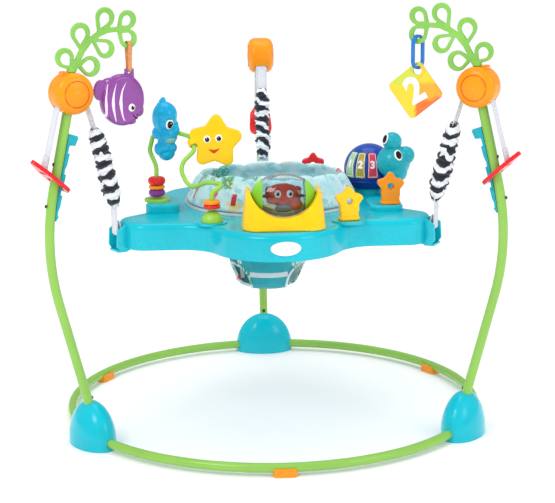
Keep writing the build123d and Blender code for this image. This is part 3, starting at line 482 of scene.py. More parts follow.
def fish_skin(name, centre, along):
    """purple moulding with three pale bands that bow towards the face"""
    m = M(name)
    c = lin((146, 66, 160))
    ob = m.tc.outputs["Object"]
    sub = m.n("ShaderNodeVectorMath", operation="SUBTRACT")
    m.l(ob, sub.inputs[0])
    sub.inputs[1].default_value = centre
    a = m.dot(sub.outputs[0], along)
    z = m.dot(sub.outputs[0], (0, 0, 1))
    d = m.math("SQRT", m.math("ADD", m.math("MULTIPLY", a, a), m.math("MULTIPLY", m.math("MULTIPLY", z, z), 0.42)))
    d = m.math("ADD", d, m.remap(m.noise(26, 2), 0.3, 0.7, -0.0008, 0.0008))
    base = m.ramp(m.noise(24, 3, 0.55, dist=0.5), ((0.3, tuple(x * 0.8 for x in c[:3])), (0.7, c)))
    col = base
    side = m.math("GREATER_THAN", a, 0.0)
    vert = m.math("LESS_THAN", m.math("ABSOLUTE", m.math("ADD", z, -0.006)), 0.040)
    for r, w in ((0.0345, 0.0030), (0.0505, 0.0028), (0.0655, 0.0022)):
        wob = m.math("MULTIPLY", m.math("SUBTRACT", 0.042, m.math("ABSOLUTE", z)), w / 0.036)
        band = m.math("LESS_THAN", m.math("ABSOLUTE", m.math("SUBTRACT", d, r)), wob)
        col = m.mix(m.math("MULTIPLY", m.math("MULTIPLY", band, side), vert), col, lin((250, 226, 250)))
    m.color(col)
    m.rough(m.remap(m.noise(50, 4, 0.6), 0.3, 0.7, 0.16, 0.28))
    m.val("Coat Weight", 0.5)
    m.val("Coat Roughness", 0.1)
    b = m.bump(m.noise(900, 3, 0.5), 0.00005, 0.5)
    m.normal(m.bump(m.noise(70, 3, 0.5), 0.0003, 0.3, b))
    MATS[name] = m.mat
    return m.mat


def tile_skin(name, centre, along):
    """soft patches of lemon, lime, amber and orange, printed on the number tile"""
    m = M(name)
    ob = m.tc.outputs["Object"]
    sub = m.n("ShaderNodeVectorMath", operation="SUBTRACT")
    m.l(ob, sub.inputs[0])
    sub.inputs[1].default_value = centre
    w = m.noise(40, 2, 0.5, dist=0.4)
    a = m.math("ADD", m.dot(sub.outputs[0], along), m.remap(w, 0.3, 0.7, -0.006, 0.006))
    z = m.math("ADD", m.dot(sub.outputs[0], (0, 0, 1)), m.remap(m.noise(33, 2), 0.3, 0.7, -0.006, 0.006))
    def soft(v, t):
        return m.remap(v, t - 0.003, t + 0.003, 0, 1)
    yel, lime, amb, deep = lin((252, 208, 30)), lin((206, 214, 60)), lin((250, 168, 30)), lin((240, 110, 24))
    col = m.mix(soft(a, 0.004), yel, amb)
    col = m.mix(m.math("MULTIPLY", soft(z, 0.012), m.math("SUBTRACT", 1.0, soft(a, 0.012))), col, lime)
    col = m.mix(m.math("MULTIPLY", soft(m.math("MULTIPLY", z, -1.0), 0.014), soft(a, 0.0)), col, deep)
    col = m.mix(m.math("MULTIPLY", soft(z, 0.016), soft(a, 0.014)), col, yel)
    m.color(col)
    m.rough(m.remap(m.noise(60, 4, 0.6), 0.3, 0.7, 0.2, 0.33))
    m.val("Coat Weight", 0.4)
    m.normal(m.bump(m.noise(500, 4, 0.6), 0.00008, 0.5))
    MATS[name] = m.mat
    return m.mat


# ------------------------------------------------------------------ mesh helpers
def mesh_ob(name, verts, faces, mat, uvs=None, smooth=True):
    me = bpy.data.meshes.new(name)
    me.from_pydata([tuple(v) for v in verts], [], faces)
    if uvs is not None:
        lay = me.uv_layers.new(name="UVMap")
        for lp in me.loops:
            lay.data[lp.index].uv = uvs[lp.vertex_index] if not callable(uvs) else uvs(lp)
    for p in me.polygons:
        p.use_smooth = smooth
    me.materials.append(MATS[mat] if isinstance(mat, str) else mat)
    ob = link(bpy.data.objects.new(name, me))
    return ob


def grid(nu, nv, closed_u=True):
    faces = []
    for j in range(nv - 1):
        for i in range(nu if closed_u else nu - 1):
            a, b = j * nu + i, j * nu + (i + 1) % nu
            faces.append((a, b, b + nu, a + nu))
    return faces


def uv_of(ob, fn):
    """writes a uv for each corner; fn(vertex index, face index) -> (u, v)"""
    me = ob.data
    lay = me.uv_layers.get("UVMap") or me.uv_layers.new(name="UVMap")
    for p in me.polygons:
        for li in p.loop_indices:
            lay.data[li].uv = fn(me.loops[li].vertex_index, p)


def catmull(pts, n, closed=False):
    P = [Vector(p) for p in pts]
    out = []
    m = len(P)
    segs = m if closed else m - 1
    for i in range(segs):
        p0 = P[(i - 1) % m] if closed or i > 0 else P[0] * 2 - P[1]
        p1, p2 = P[i % m], P[(i + 1) % m]
        p3 = P[(i + 2) % m] if closed or i + 2 < m else P[-1] * 2 - P[-2]
        for k in range(n):
            t = k / n
            out.append(0.5 * ((2 * p1) + (p2 - p0) * t + (2 * p0 - 5 * p1 + 4 * p2 - p3) * t * t + (3 * p1 - p0 - 3 * p2 + p3) * t ** 3))
    if not closed:
        out.append(P[-1])
    return out


def ribbon(name, path, side, w, t, mat, wfn=None, across=9):
    """flat webbing along path, closed, with rounded selvedges; uv in metres"""
    side = Vector(side).normalized()
    prof = []
    xs = [-1 + 2 * i / (across - 1) for i in range(across)]
    top = [(x, 1.0 if abs(x) < 0.99 else 0.35) for x in xs]
    prof = [(x, h) for x, h in top] + [(x, -h) for x, h in top[::-1]]
    n = len(prof)
    verts, uvs, run = [], [], 0.0
    for i, p in enumerate(path):
        p = Vector(p)
        a = Vector(path[max(0, i - 1)])
        b = Vector(path[min(len(path) - 1, i + 1)])
        tan = (b - a).normalized()
        nor = tan.cross(side).normalized()
        if i:
            run += (p - Vector(path[i - 1])).length
        ww = w * (wfn(i / (len(path) - 1)) if wfn else 1.0)
        for x, h in prof:
            verts.append(p + side * (x * ww / 2) + nor * (h * t / 2))
            uvs.append((x * w / 2, run))
    faces = grid(n, len(path))
    faces.append(tuple(range(n))[::-1])
    faces.append(tuple(range(len(verts) - n, len(verts))))
    return mesh_ob(name, verts, faces, mat, uvs)


def tube(name, path, r, mat, closed=False, n=12, rfn=None, squash=1.0):
    P = [Vector(p) for p in path]
    m = len(P)
    verts, uvs, run = [], [], 0.0
    up = None
    for i, p in enumerate(P):
        a = P[(i - 1) % m] if closed or i else P[0]
        b = P[(i + 1) % m] if closed or i < m - 1 else P[-1]
        tan = (b - a).normalized()
        if up is None:
            up = tan.orthogonal().normalized()
        up = (up - tan * up.dot(tan)).normalized()
        si = tan.cross(up)
        if i:
            run += (p - P[i - 1]).length
        rr = r * (rfn(i / (m - 1)) if rfn else 1.0)
        for k in range(n):
            an = 2 * pi * k / n
            verts.append(p + up * cos(an) * rr + si * sin(an) * rr * squash)
            uvs.append((an * rr, run))
    faces = grid(n, m)
    if closed:
        base = (m - 1) * n
        # match the last ring to the first by nearest vertex
        d = [(verts[base] - verts[k]).length for k in range(n)]
        o = d.index(min(d))
        for k in range(n):
            faces.append((base + k, base + (k + 1) % n, (k + 1 + o) % n, (k + o) % n))
    else:
        faces.append(tuple(range(n))[::-1])
        faces.append(tuple(range(len(verts) - n, len(verts))))
    return mesh_ob(name, verts, faces, mat, uvs)


def baked(ob):
    """the object with its modifiers made final"""
    dg = bpy.context.evaluated_depsgraph_get()
    me = bpy.data.meshes.new_from_object(ob.evaluated_get(dg))
    ob.modifiers.clear()
    old = ob.data
    ob.data = me
    bpy.data.meshes.remove(old)
    for p in me.polygons:
        p.use_smooth = True
    return ob


def put(ob, body, replaces=()):
    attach(ob, body)
    if replaces:
        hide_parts(*replaces)
    return ob


def organic(name, node, mat, voxel, iters, balls=(), fn=None, only=None, keep_z=None):
    """the CAD solid with its edges melted into one moulded form, plus extra lobes"""
    bm = bmesh.new()
    bm.from_mesh(nodes[node].data)
    for c, r, sc in balls:
        mat4 = Matrix.Translation(c) @ Matrix.Diagonal((sc[0], sc[1], sc[2], 1))
        bmesh.ops.create_uvsphere(bm, u_segments=28, v_segments=18, radius=r, matrix=mat4)
    if only is not None:
        dead = [v for v in bm.verts if not only(v.co)]
        bmesh.ops.delete(bm, geom=dead, context="VERTS")
    me = bpy.data.meshes.new(name)
    bm.to_mesh(me)
    bm.free()
    ob = link(bpy.data.objects.new(name, me))
    r = ob.modifiers.new("r", "REMESH")
    r.mode = "VOXEL"
    r.voxel_size = voxel
    s = ob.modifiers.new("s", "SMOOTH")
    s.factor = 0.5
    s.iterations = iters
    baked(ob)
    if fn:
        for v in ob.data.vertices:
            v.co = fn(v.co.copy())
    ob.data.materials.clear()
    ob.data.materials.append(MATS[mat] if isinstance(mat, str) else mat)
    return ob


def tree(ob):
    dg = bpy.context.evaluated_depsgraph_get()
    return BVHTree.FromObject(ob, dg)


def hit(tr, origin, d):
    loc, nor, _, _ = tr.ray_cast(Vector(origin), Vector(d).normalized())
    if loc is None:
        loc, nor, _, _ = tr.find_nearest(Vector(origin) + Vector(d) * 0.2)
    return loc, nor


def lens(name, at, nor, up, rx, ry, mats, look=(0.0, 0.0), pupil=0.62, glint=(0.25, 0.35), rise=0.28):
    """an eye: a domed white with a pupil and a glint on it, one mesh of two materials"""
    nor = Vector(nor).normalized()
    up = Vector(up)
    up = (up - nor * up.dot(nor)).normalized()
    si = up.cross(nor)
    verts, faces, idx = [], [], []

    def cap(cx, cy, ax, ay, h0, h, m, rings=7, seg=32):
        base = len(verts)
        for j in range(rings + 1):
            f = j / rings
            rr = cos(f * pi / 2)
            hh = h0 + h * sin(f * pi / 2)
            if j == rings:
                verts.append(Vector(at) + si * cx + up * cy + nor * hh)
                break
            for k in range(seg):
                a = 2 * pi * k / seg
                verts.append(Vector(at) + si * (cx + ax * rr * cos(a)) + up * (cy + ay * rr * sin(a)) + nor * hh)
        for j in range(rings - 1):
            for k in range(seg):
                a, b = base + j * seg + k, base + j * seg + (k + 1) % seg
                faces.append((a, b, b + seg, a + seg))
                idx.append(m)
        tip = len(verts) - 1
        for k in range(seg):
            a, b = base + (rings - 1) * seg + k, base + (rings - 1) * seg + (k + 1) % seg
            faces.append((a, b, tip))
            idx.append(m)
        faces.append(tuple(base + k for k in range(seg))[::-1])
        idx.append(m)

    h = rise * rx
    cap(0, 0, rx, ry, -0.5 * h, 1.5 * h, 0)
    cap(look[0] * rx, look[1] * ry, rx * pupil, ry * pupil, 0.35 * h, 0.90 * h, 1)
    cap((look[0] + glint[0]) * rx, (look[1] + glint[1]) * ry, rx * 0.17, rx * 0.17, 0.9 * h, 0.33 * h, 0, 4, 16)
    me = bpy.data.meshes.new(name)
    me.from_pydata([tuple(v) for v in verts], [], faces)
    for mm in mats:
        me.materials.append(MATS[mm])
    for p, i in zip(me.polygons, idx):
        p.material_index = i
        p.use_smooth = True
    return link(bpy.data.objects.new(name, me))


def on_surface(tr, pts, d, off):
    out = []
    for p in pts:
        loc, nor = hit(tr, p, d)
        out.append(loc - Vector(d).normalized() * off)
    return out


def digit(name, text, at, nor, up, size, depth, mat):
    cu = bpy.data.curves.new(name, "FONT")
    cu.body = text
    cu.size = size
    cu.extrude = depth
    cu.bevel_depth = 0.00025
    cu.bevel_resolution = 2
    cu.offset = size * 0.035
    cu.align_x = "CENTER"
    cu.align_y = "CENTER"
    tmp = link(bpy.data.objects.new(name + "_c", cu))
    dg = bpy.context.evaluated_depsgraph_get()
    me = bpy.data.meshes.new_from_object(tmp.evaluated_get(dg))
    bpy.data.objects.remove(tmp)
    nor = Vector(nor).normalized()
    up = Vector(up)
    up = (up - nor * up.dot(nor)).normalized()
    si = up.cross(nor)
    mt = Matrix((si, up, nor)).transposed().to_4x4()
    mt.translation = Vector(at)
    me.transform(mt)
    me.name = name
    me.materials.clear()
    me.materials.append(MATS[mat])
    return link(bpy.data.objects.new(name, me))


# ------------------------------------------------------------------ CAD nodes keep their shape and get their finish
def dress(mat, *names):
    for n in names:
        me = nodes[n].data
        if len(me.materials) == 0:
            me.materials.append(MATS[mat])
        for i in range(len(me.materials)):
            me.materials[i] = MATS[mat]


dress("leg_green", "ring_tubes", "leg_tubes", "leg_sockets")
dress("teal", "foot_shells", "foot_bases", "tray_shell", "strap_hooks", "turtle_pedestal")
dress("teal_rack", "height_racks")
dress("orange", "floor_pads", "housing_halves", "housing_caps", "bead_orange", "bead_high")
dress("red", "strap_handle_left", "strap_handle_right", "strap_handle_back", "bead_red", "bead_low")
dress("green_bead", "bead_rod", "bead_bases")
dress("cap_green", "roller_caps")
dress("screw", "frame_screws", "snap_buttons")
dress("spring", "spring_links")
dress("pale", "strap_roller_left", "strap_roller_right", "strap_roller_back", "seat_ring")
dress("white", "badge")
dress("clear", "roller_window")
dress("purple", "bead_purple")
dress("blue_link", "link_ring")
dress("navy_shell", "turtle_shell")
dress("speaker", "turtle_speaker")
dress("key1", "key_one")
dress("key2", "key_two")
dress("key3", "key_three")

# ------------------------------------------------------------------ straps, sleeves and springs, one set per leg
T_IN, T_OUT = (432.74, 718.56), (473.57, 717.52)
TOP, BOT = (406.0, 636.0), (366.0, 478.0)
SLOT = (515.3, 562.1)
ROLL = (453.0, 712.0)
MID_R = 21.3
HUB = (453.0, 708.0)
CL = hypot(BOT[0] - TOP[0], BOT[1] - TOP[1])
AX = ((BOT[0] - TOP[0]) / CL, (BOT[1] - TOP[1]) / CL)     # down the spring, (r, z)
SIDES = (("left", 210), ("right", 330), ("back", 90))


def sleeve_radius(az, u, v):
    """gathered cloth: rings of folds that run round the sleeve, each a little askew"""
    a = 2 * pi * u
    s = v * CL
    skew = 3.4 * noise.noise(Vector((cos(a) * 1.1, sin(a) * 1.1, s / 14.0 + az * 0.37))) + 2.4 * sin(a + s / 31.0 + az)
    fold = sin((s + skew) * 2 * pi / 13.5 + 2.4 * noise.noise(Vector((s / 24.0, az, 0.3))))
    fold = (abs(fold) ** 0.7) * (1 if fold > 0 else -0.8)
    fine = noise.noise(Vector((cos(a) * 3.2, sin(a) * 3.2, s / 3.4 + az)))
    creased = abs(noise.noise(Vector((cos(a) * 2.0, sin(a) * 2.0, s / 7.0 + az + 9))))
    body = 15.8 + 1.5 * sin(s / 27.0 + az) + 1.3 * cos(a + s / 40.0 + az) * sin(s / 33.0)
    e1 = max(0.0, min(1.0, s / 15.0, (CL - s) / 19.0))
    e2 = max(0.0, min(1.0, s / 40.0, (CL - s) / 46.0))
    e1, e2 = e1 * e1 * (3 - 2 * e1), e2 * e2 * (3 - 2 * e2)
    r = 8.6 + 4.0 * e1 + (body - 12.2) * e2 + (0.35 + 0.65 * e2) * (2.1 * fold + 0.9 * fine - 1.5 * creased)
    return max(r, 8.2 + 4.2 * e1)


flat_parts = []
for nm, az in SIDES:
    side = L(az, 0, 1, 0) - L(az, 0, 0, 0)
    # sleeve
    nu, nv = 96, 168
    verts, uvs = [], []
    xdir = (L(az, -AX[1], 0, AX[0]) - L(az, 0, 0, 0)).normalized()
    ydir = side.normalized()
    for j in range(nv):
        v = j / (nv - 1)
        c = L(az, TOP[0] + AX[0] * CL * v, 0, TOP[1] + AX[1] * CL * v)
        for i in range(nu):
            u = i / nu
            r = sleeve_radius(az, u, v) / 1000
            a = 2 * pi * u
            flat_end = 0.72 if v < 0.02 or v > 0.98 else 1.0
            verts.append(c + xdir * cos(a) * r * flat_end + ydir * sin(a) * r)
            uvs.append((u * 0.119, v * 0.163))
    sl = mesh_ob("spring_sleeve_" + nm, verts, grid(nu, nv), "zebra")
    uv_of(sl, lambda vi, p: (((vi % nu) / nu * 0.119) if not ((vi % nu) == 0 and max(x % nu for x in p.vertices) == nu - 1) else 0.119, (vi // nu) / (nv - 1) * 0.163))
    so = sl.modifiers.new("t", "SOLIDIFY")
    so.thickness = 0.0009
    so.offset = -1
    baked(sl)
    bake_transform(sl)
    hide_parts("spring_covers")
    # hems at both ends of the sleeve
    for tag, v0, body in (("top", 0.008, "hangers"), ("low", 0.992, "tray")):
        c = L(az, TOP[0] + AX[0] * CL * v0, 0, TOP[1] + AX[1] * CL * v0)
        ring = [c + xdir * cos(2 * pi * k / 40) * 0.0064 + ydir * sin(2 * pi * k / 40) * 0.0086 for k in range(40)]
        he = tube("sleeve_hem_%s_%s" % (tag, nm), ring, 0.0012, "zebra", closed=True, n=8)
        put(he, body)
    # coil spring
    pts = []
    turns, length = 15.5, 120.0
    for k in range(int(turns * 22) + 1):
        a = 2 * pi * k / 22
        s = 18 + length * k / (turns * 22)
        c = L(az, TOP[0] + AX[0] * s, 0, TOP[1] + AX[1] * s)
        pts.append(c + (xdir * cos(a) + ydir * sin(a)) * 0.0104)
    sp = tube("springs_" + nm, pts, 0.0014, "spring", n=8)
    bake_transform(sp)
    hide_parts("springs")
    # inner strap: roller to spring
    p0, p1 = T_IN, (TOP[0] + AX[0] * 9, TOP[1] + AX[1] * 9)
    path = [L(az, p0[0] + (p1[0] - p0[0]) * k / 24, 0.35 * sin(k * 0.5), p0[1] + (p1[1] - p0[1]) * k / 24) for k in range(25)]
    st = ribbon("strap_inner_" + nm, path, side, 0.025, 0.0018, "webbing", wfn=lambda f: 1.0 - 0.20 * max(0, f - 0.86) / 0.14)
    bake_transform(st)
    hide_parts("inner_straps")
    # over the roller
    a0 = atan2(T_OUT[1] - ROLL[1], T_OUT[0] - ROLL[0])
    a1 = atan2(T_IN[1] - ROLL[1], T_IN[0] - ROLL[0])
    path = [L(az, ROLL[0] + MID_R * cos(a0 + (a1 - a0) * k / 24), 0, ROLL[1] + MID_R * sin(a0 + (a1 - a0) * k / 24)) for k in range(25)]
    put(ribbon("strap_over_" + nm, path, side, 0.025, 0.0018, "webbing"), "frame", ["roller_straps"])
    # outer strap: roller to pull handle, turned back through the handle's slot and sewn
    dx, dz = SLOT[0] - T_OUT[0], SLOT[1] - T_OUT[1]
    n_ = hypot(dx, dz)
    ux, uz = dx / n_, dz / n_
    path = [L(az, T_OUT[0] + dx * f, 0, T_OUT[1] + dz * f) for f in [k / 30 for k in range(30)]]
    fold = [(0, 0), (1.6, 1.3), (2.3, 3.2), (1.2, 5.0), (-0.9, 5.3), (-2.6, 3.6), (-3.0, 1.2)]
    for q, s in fold:
        path.append(L(az, SLOT[0] + ux * (s - 4.0) + uz * q, 0, SLOT[1] + uz * (s - 4.0) - ux * q))
    for s in (-8, -14, -20, -26, -30):
        path.append(L(az, SLOT[0] + ux * s - uz * 2.3, 0, SLOT[1] + uz * s + ux * 2.3))
    st = ribbon("strap_outer_" + nm, path, side, 0.025, 0.0016, "webbing")
    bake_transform(st)
    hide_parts("outer_strap_" + nm)
    # lower strap: spring to the tray's hook, round the bar and sewn back on itself
    s0 = (BOT[0] - AX[0] * 9 + 1.0, BOT[1] - AX[1] * 9)
    bar = (363.0, 425.0)
    rb = 5.3
    path = [(s0[0] + (bar[0] + rb - s0[0]) * k / 12, s0[1] + (bar[1] + 1.5 - s0[1]) * k / 12) for k in range(12)]
    for k in range(13):
        a = -k * pi / 12
        path.append((bar[0] + rb * cos(a), bar[1] + rb * sin(a)))
    path += [(bar[0] - rb + 0.8 + 5.2 * k / 6, bar[1] + 3 + 22 * k / 6) for k in range(1, 7)]
    path = [L(az, r, 0, z) for r, z in path]
    put(ribbon("strap_lower_" + nm, path, side, 0.025, 0.0017, "webbing"), "tray", ["lower_straps"])

# parting circle on each cap of the spring housings
capb = [tree(nodes["housing_caps"]), tree(nodes["housing_halves"])]
for nm, az in SIDES:
    for tag, sg in (("a", 1), ("b", -1)):
        d = (L(az, 0, sg, 0) - L(az, 0, 0, 0)).normalized()
        ring = []
        for k in range(72):
            a = 2 * pi * k / 72
            o = L(az, HUB[0] + 25.2 * cos(a), 0, HUB[1] + 25.2 * sin(a)) + d * 0.12
            best = None
            for tr in capb:
                loc, nor, _, dist = tr.ray_cast(o, -d)
                if loc is not None and (best is None or dist < best[1]):
                    best = (loc, dist)
            if best:
                ring.append(best[0] + d * 0.0001)
        if len(ring) > 60:
            put(tube("cap_parting_%s_%s" % (nm, tag), ring, 0.0009, "seam_orange", closed=True, n=8), "frame")

# ------------------------------------------------------------------ leaf arms
arms = organic("leaf_arms_moulded", "leaf_arms", "leaf", 0.0012, 5)
put(arms, "frame", ["leaf_arms"])

# ------------------------------------------------------------------ fish on its ribbon
A_L = radians(210)
HR, HZ = 326.5, 790.89
along = (cos(A_L), sin(A_L), 0.0)
FCR, FCZ = HR + 17.5, HZ + 1.4 + 8.9 - 63.7 + 1.6 - 52
fc = L(210, FCR, 0, FCZ)
fish_mat = fish_skin("fish_skin", tuple(L(210, FCR - 26, 0, FCZ - 6)), along)
nrm = Vector((sin(A_L), -cos(A_L), 0))
fn_out = nrm if nrm.y < 0 else -nrm      # the face that the photograph's side shows
extra = [
    (L(210, FCR + 24, 0, FCZ + 36), 0.013, (1.3, 0.55, 0.7)),
    (L(210, FCR - 10, 0, FCZ - 44), 0.012, (1.5, 0.6, 0.5)),
    (L(210, FCR - 36, 0, FCZ - 22), 0.013, (0.8, 0.8, 1.1)),
]
fish = organic("fish_body", "fish_toy", fish_mat, 0.0012, 6, extra)
put(fish, "fish", ["fish_toy"])
ft = tree(fish)
for tag, sgn in (("front", 1), ("rear", -1)):
    d = -fn_out * sgn
    loc, nor = hit(ft, L(210, 328.7, 0, 671.7) - d * 0.1, d)
    e = lens("fish_eye_" + tag, loc, nor, (0, 0, 1), 0.0078, 0.0082, ("white", "black"), look=(0.12 * sgn, -0.02), pupil=0.60, glint=(0.2, 0.25))
    put(e, "fish")
    pts = [L(210, r, 0, z) - d * 0.1 for r, z in ((327.3, 659.5), (324.5, 654.5), (320.5, 651.2), (315.5, 649.3), (311.0, 649.0), (307.5, 650.5))]
    pts = catmull(on_surface(ft, pts, d, 0.0002), 5)
    put(tube("fish_smile_" + tag, pts, 0.0011, "black", n=8, rfn=lambda f: 0.35 + 0.65 * sin(f * pi) ** 0.6), "fish")
# ribbon loop over the leaf and through the fish
c0, c1 = HZ + 1.4, HZ + 1.4 + 8.9 - 63.7 + 1.6 + 6.4
loop = []
for k in range(17):
    a = pi * k / 16
    loop.append(L(210, HR, 8.0 * cos(a), c0 + 8.0 * sin(a)))
for k in range(1, 10):
    loop.append(L(210, HR, -8.0 + 3.8 * sin(k / 10 * pi / 2), c0 + (c1 - c0) * k / 10))
for k in range(17):
    a = pi + pi * k / 16
    loop.append(L(210, HR, 4.3 * cos(a), c1 + 5.4 * sin(a)))
for k in range(1, 10):
    loop.append(L(210, HR, 8.0 - 3.8 * sin((10 - k) / 10 * pi / 2), c1 + (c0 - c1) * k / 10))
loop.append(loop[0])
rib = ribbon("fish_ribbon", loop, along, 0.0088, 0.0011, "ribbon", across=7)
put(rib, "fish", ["fish_strap"])

# ------------------------------------------------------------------ number tile
A_R = radians(330)
W_TOP = HZ - 3.2 + 17 - 68 + 6
T_C = (HR - 4, W_TOP + 2.2 - 9.5 - 40)
tc = L(330, T_C[0], 0, T_C[1])
tile_mat = tile_skin("tile_skin", tuple(tc), (cos(A_R), sin(A_R), 0.0))
me = nodes["number_tile"].data
for i in range(max(1, len(me.materials))):
    if len(me.materials) == 0:
        me.materials.append(tile_mat)
    me.materials[i] = tile_mat
nr = Vector((sin(A_R), -cos(A_R), 0))
nr = nr if nr.y < 0 else -nr
for tag, sgn in (("front", 1), ("rear", -1)):
    n_ = nr * sgn
    up = Vector((0, 0, 1)) * cos(radians(30)) + n_.cross(Vector((0, 0, 1))) * sin(radians(30)) * (1 if sgn > 0 else -1)
    dg_ = digit("tile_digit_" + tag, "2", L(330, T_C[0], 0, T_C[1] - 1) + n_ * 0.0029, n_, up, 0.070, 0.0004, "white")
    put(dg_, "tile")

# ------------------------------------------------------------------ toys that are one soft moulding
HSX, HSY = -218, -58
sea = [
    (V(HSX - 3, HSY, 634), 0.0262, (0.86, 0.86, 1.26)),
    (V(HSX - 2, HSY, 672), 0.0052, (1, 1, 1)),
    (V(HSX - 7, HSY, 668), 0.0040, (1, 1, 1)),
    (V(HSX + 19, HSY - 8, 611), 0.0110, (1.05, 0.9, 1.0)),
    (V(HSX + 15, HSY - 6, 601), 0.0110, (1.0, 0.9, 0.9)),
    (V(HSX - 17, HSY - 2, 604), 0.0120, (0.8, 1, 1)),
    (V(HSX + 12, HSY - 4, 574), 0.0125, (1, 1.1, 0.9)),
    (V(HSX - 9, HSY - 4, 572), 0.0135, (1, 1.2, 1.1)),
    (V(HSX + 2, HSY - 3, 559), 0.0125, (1.2, 1.1, 0.8)),
]
horse = organic("sea_horse_moulded", "sea_horse", "blue_horse", 0.0012, 5, sea)
put(horse, "sea_horse", ["sea_horse"])
ht = tree(horse)
for tag, x, z, sgn, mx, my in (("near", -208.3, 623.6, 1, 0.0074, 0.0100), ("far", -208.3, 623.6, -1, 0.0074, 0.0100)):
    loc, nor = hit(ht, V(x, HSY - 60 * sgn, z), (0, sgn, 0))
    put(lens("sea_horse_eye_" + tag, loc, nor, (0, 0, 1), mx, my, ("white", "black"), look=(0.10 * sgn, 0.0), pupil=0.78, glint=(0.25 * sgn, 0.3)), "sea_horse")
loc, nor = hit(ht, V(-160, HSY - 26, 625), (-1, 0.12, 0))
put(lens("sea_horse_eye_side", loc, nor, (0, 0, 1), 0.0052, 0.0078, ("white", "black"), look=(0.0, 0.0), pupil=0.7), "sea_horse")
for k, (dz, w) in enumerate(((593.6, 9), (590.6, 11), (587.8, 7))):
    pts = [V(-207 + w * t, HSY - 60, dz + 0.8 * t) for t in (-1, -0.6, -0.2, 0.2, 0.6, 1)]
    pts = on_surface(ht, pts, (0, 1, 0), 0.0003)
    put(tube("sea_horse_fin_%d" % (k + 1), catmull(pts, 4), 0.0012, "key1", n=8, rfn=lambda f: 0.3 + 0.7 * sin(f * pi) ** 0.5), "sea_horse")

SC = V(-116, -80, 587.5)


def puff(co):
    d = co - SC
    rho = hypot(d.x, d.z)
    if d.y < 0.006:
        k = 1.32 - 0.46 * min(1.0, rho / 0.065) ** 1.6
        co.y = SC.y + d.y * k if abs(d.y) < 0.02 else co.y
    return co


star = organic("star_moulded", "star_toy", "yellow", 0.0013, 12, fn=puff)
put(star, "star_toy", ["star_toy"])
stt = tree(star)
for tag, x, z in (("left", -133.0, 594.5), ("right", -109.4, 596.2)):
    loc, nor = hit(stt, V(x, -160, z), (0, 1, 0))
    put(lens("star_eye_" + tag, loc, nor, (0, 0, 1), 0.0076, 0.0080, ("white", "black"), look=(0.02, -0.05), pupil=0.66, glint=(-0.12, 0.22)), "star_toy")
# open smile, as a shallow raised crescent
up_l = [(-131.0, 576.2), (-126, 573.8), (-119.6, 573.4), (-113, 574.6), (-107.8, 577.0)]
lo_l = [(-131.0, 576.2), (-127.5, 571.2), (-120.0, 566.2), (-112.8, 570.6), (-107.8, 577.0)]
U = catmull([Vector((x, 0, z)) for x, z in up_l], 6)
D = catmull([Vector((x, 0, z)) for x, z in lo_l], 6)
verts = []
for a, b in zip(U, D):
    for f in (0, 0.33, 0.66, 1.0):
        q = a.lerp(b, f)
        loc, nor = hit(stt, V(q.x, -160, q.z), (0, 1, 0))
        verts.append(loc + Vector((0, -0.0004 - 0.0007 * sin(f * pi), 0)))
fcs = [(i * 4 + j, i * 4 + j + 1, (i + 1) * 4 + j + 1, (i + 1) * 4 + j) for i in range(len(U) - 1) for j in range(3)]
put(mesh_ob("star_smile", verts, fcs, "mouth_red"), "star_toy")

for nm, col, slot in (("yellow", "yellow", "yellow_plastic"), ("orange", "orange", "orange_plastic"), ("red", "red", "red_plastic")):
    o = organic("star_loop_%s_moulded" % nm, "star_loop_" + nm, col, 0.0012, 7)
    put(o, "tray", ["star_loop_" + nm])

cradle = organic("roller_cradle_moulded", "roller_cradle", "yellow", 0.0014, 4)
put(cradle, "tray", ["roller_cradle"])

head = organic("turtle_head_moulded", "turtle_head", "teal_head", 0.0014, 9)
put(head, "tray", ["turtle_head"])
tt = tree(head)
for tag, x, z, r in (("upper", 237.0, 577.5, 0.0098), ("lower", 263.0, 545.0, 0.0100)):
    loc, nor = hit(tt, V(x, -160, z), (0, 1, 0))
    put(lens("turtle_eye_" + tag, loc, nor, (-0.12, 0, 1), r * 0.84, r * 1.22, ("white", "black"), look=(0.05, -0.03), pupil=0.76, glint=(0.12, -0.05)), "tray")
pts = [V(x, -160, z) for x, z in ((243, 512), (250, 506.5), (258, 504), (267, 505), (275, 509.5))]
put(tube("turtle_smile", catmull(on_surface(tt, pts, (0, 1, 0), -0.0002), 5), 0.0009, "teal_rack", n=8, rfn=lambda f: 0.3 + 0.7 * sin(f * pi) ** 0.5), "tray")
# ridge round the shell's foot
TX, TY, ZT = 214.0, 76.0, 462.1
ridge = [V(TX + 50.5 * cos(2 * pi * k / 96), TY + 50.5 * sin(2 * pi * k / 96), ZT + 16.0) for k in range(96)]
put(tube("turtle_shell_rim", ridge, 0.0019, "navy_shell", closed=True, n=10), "tray")

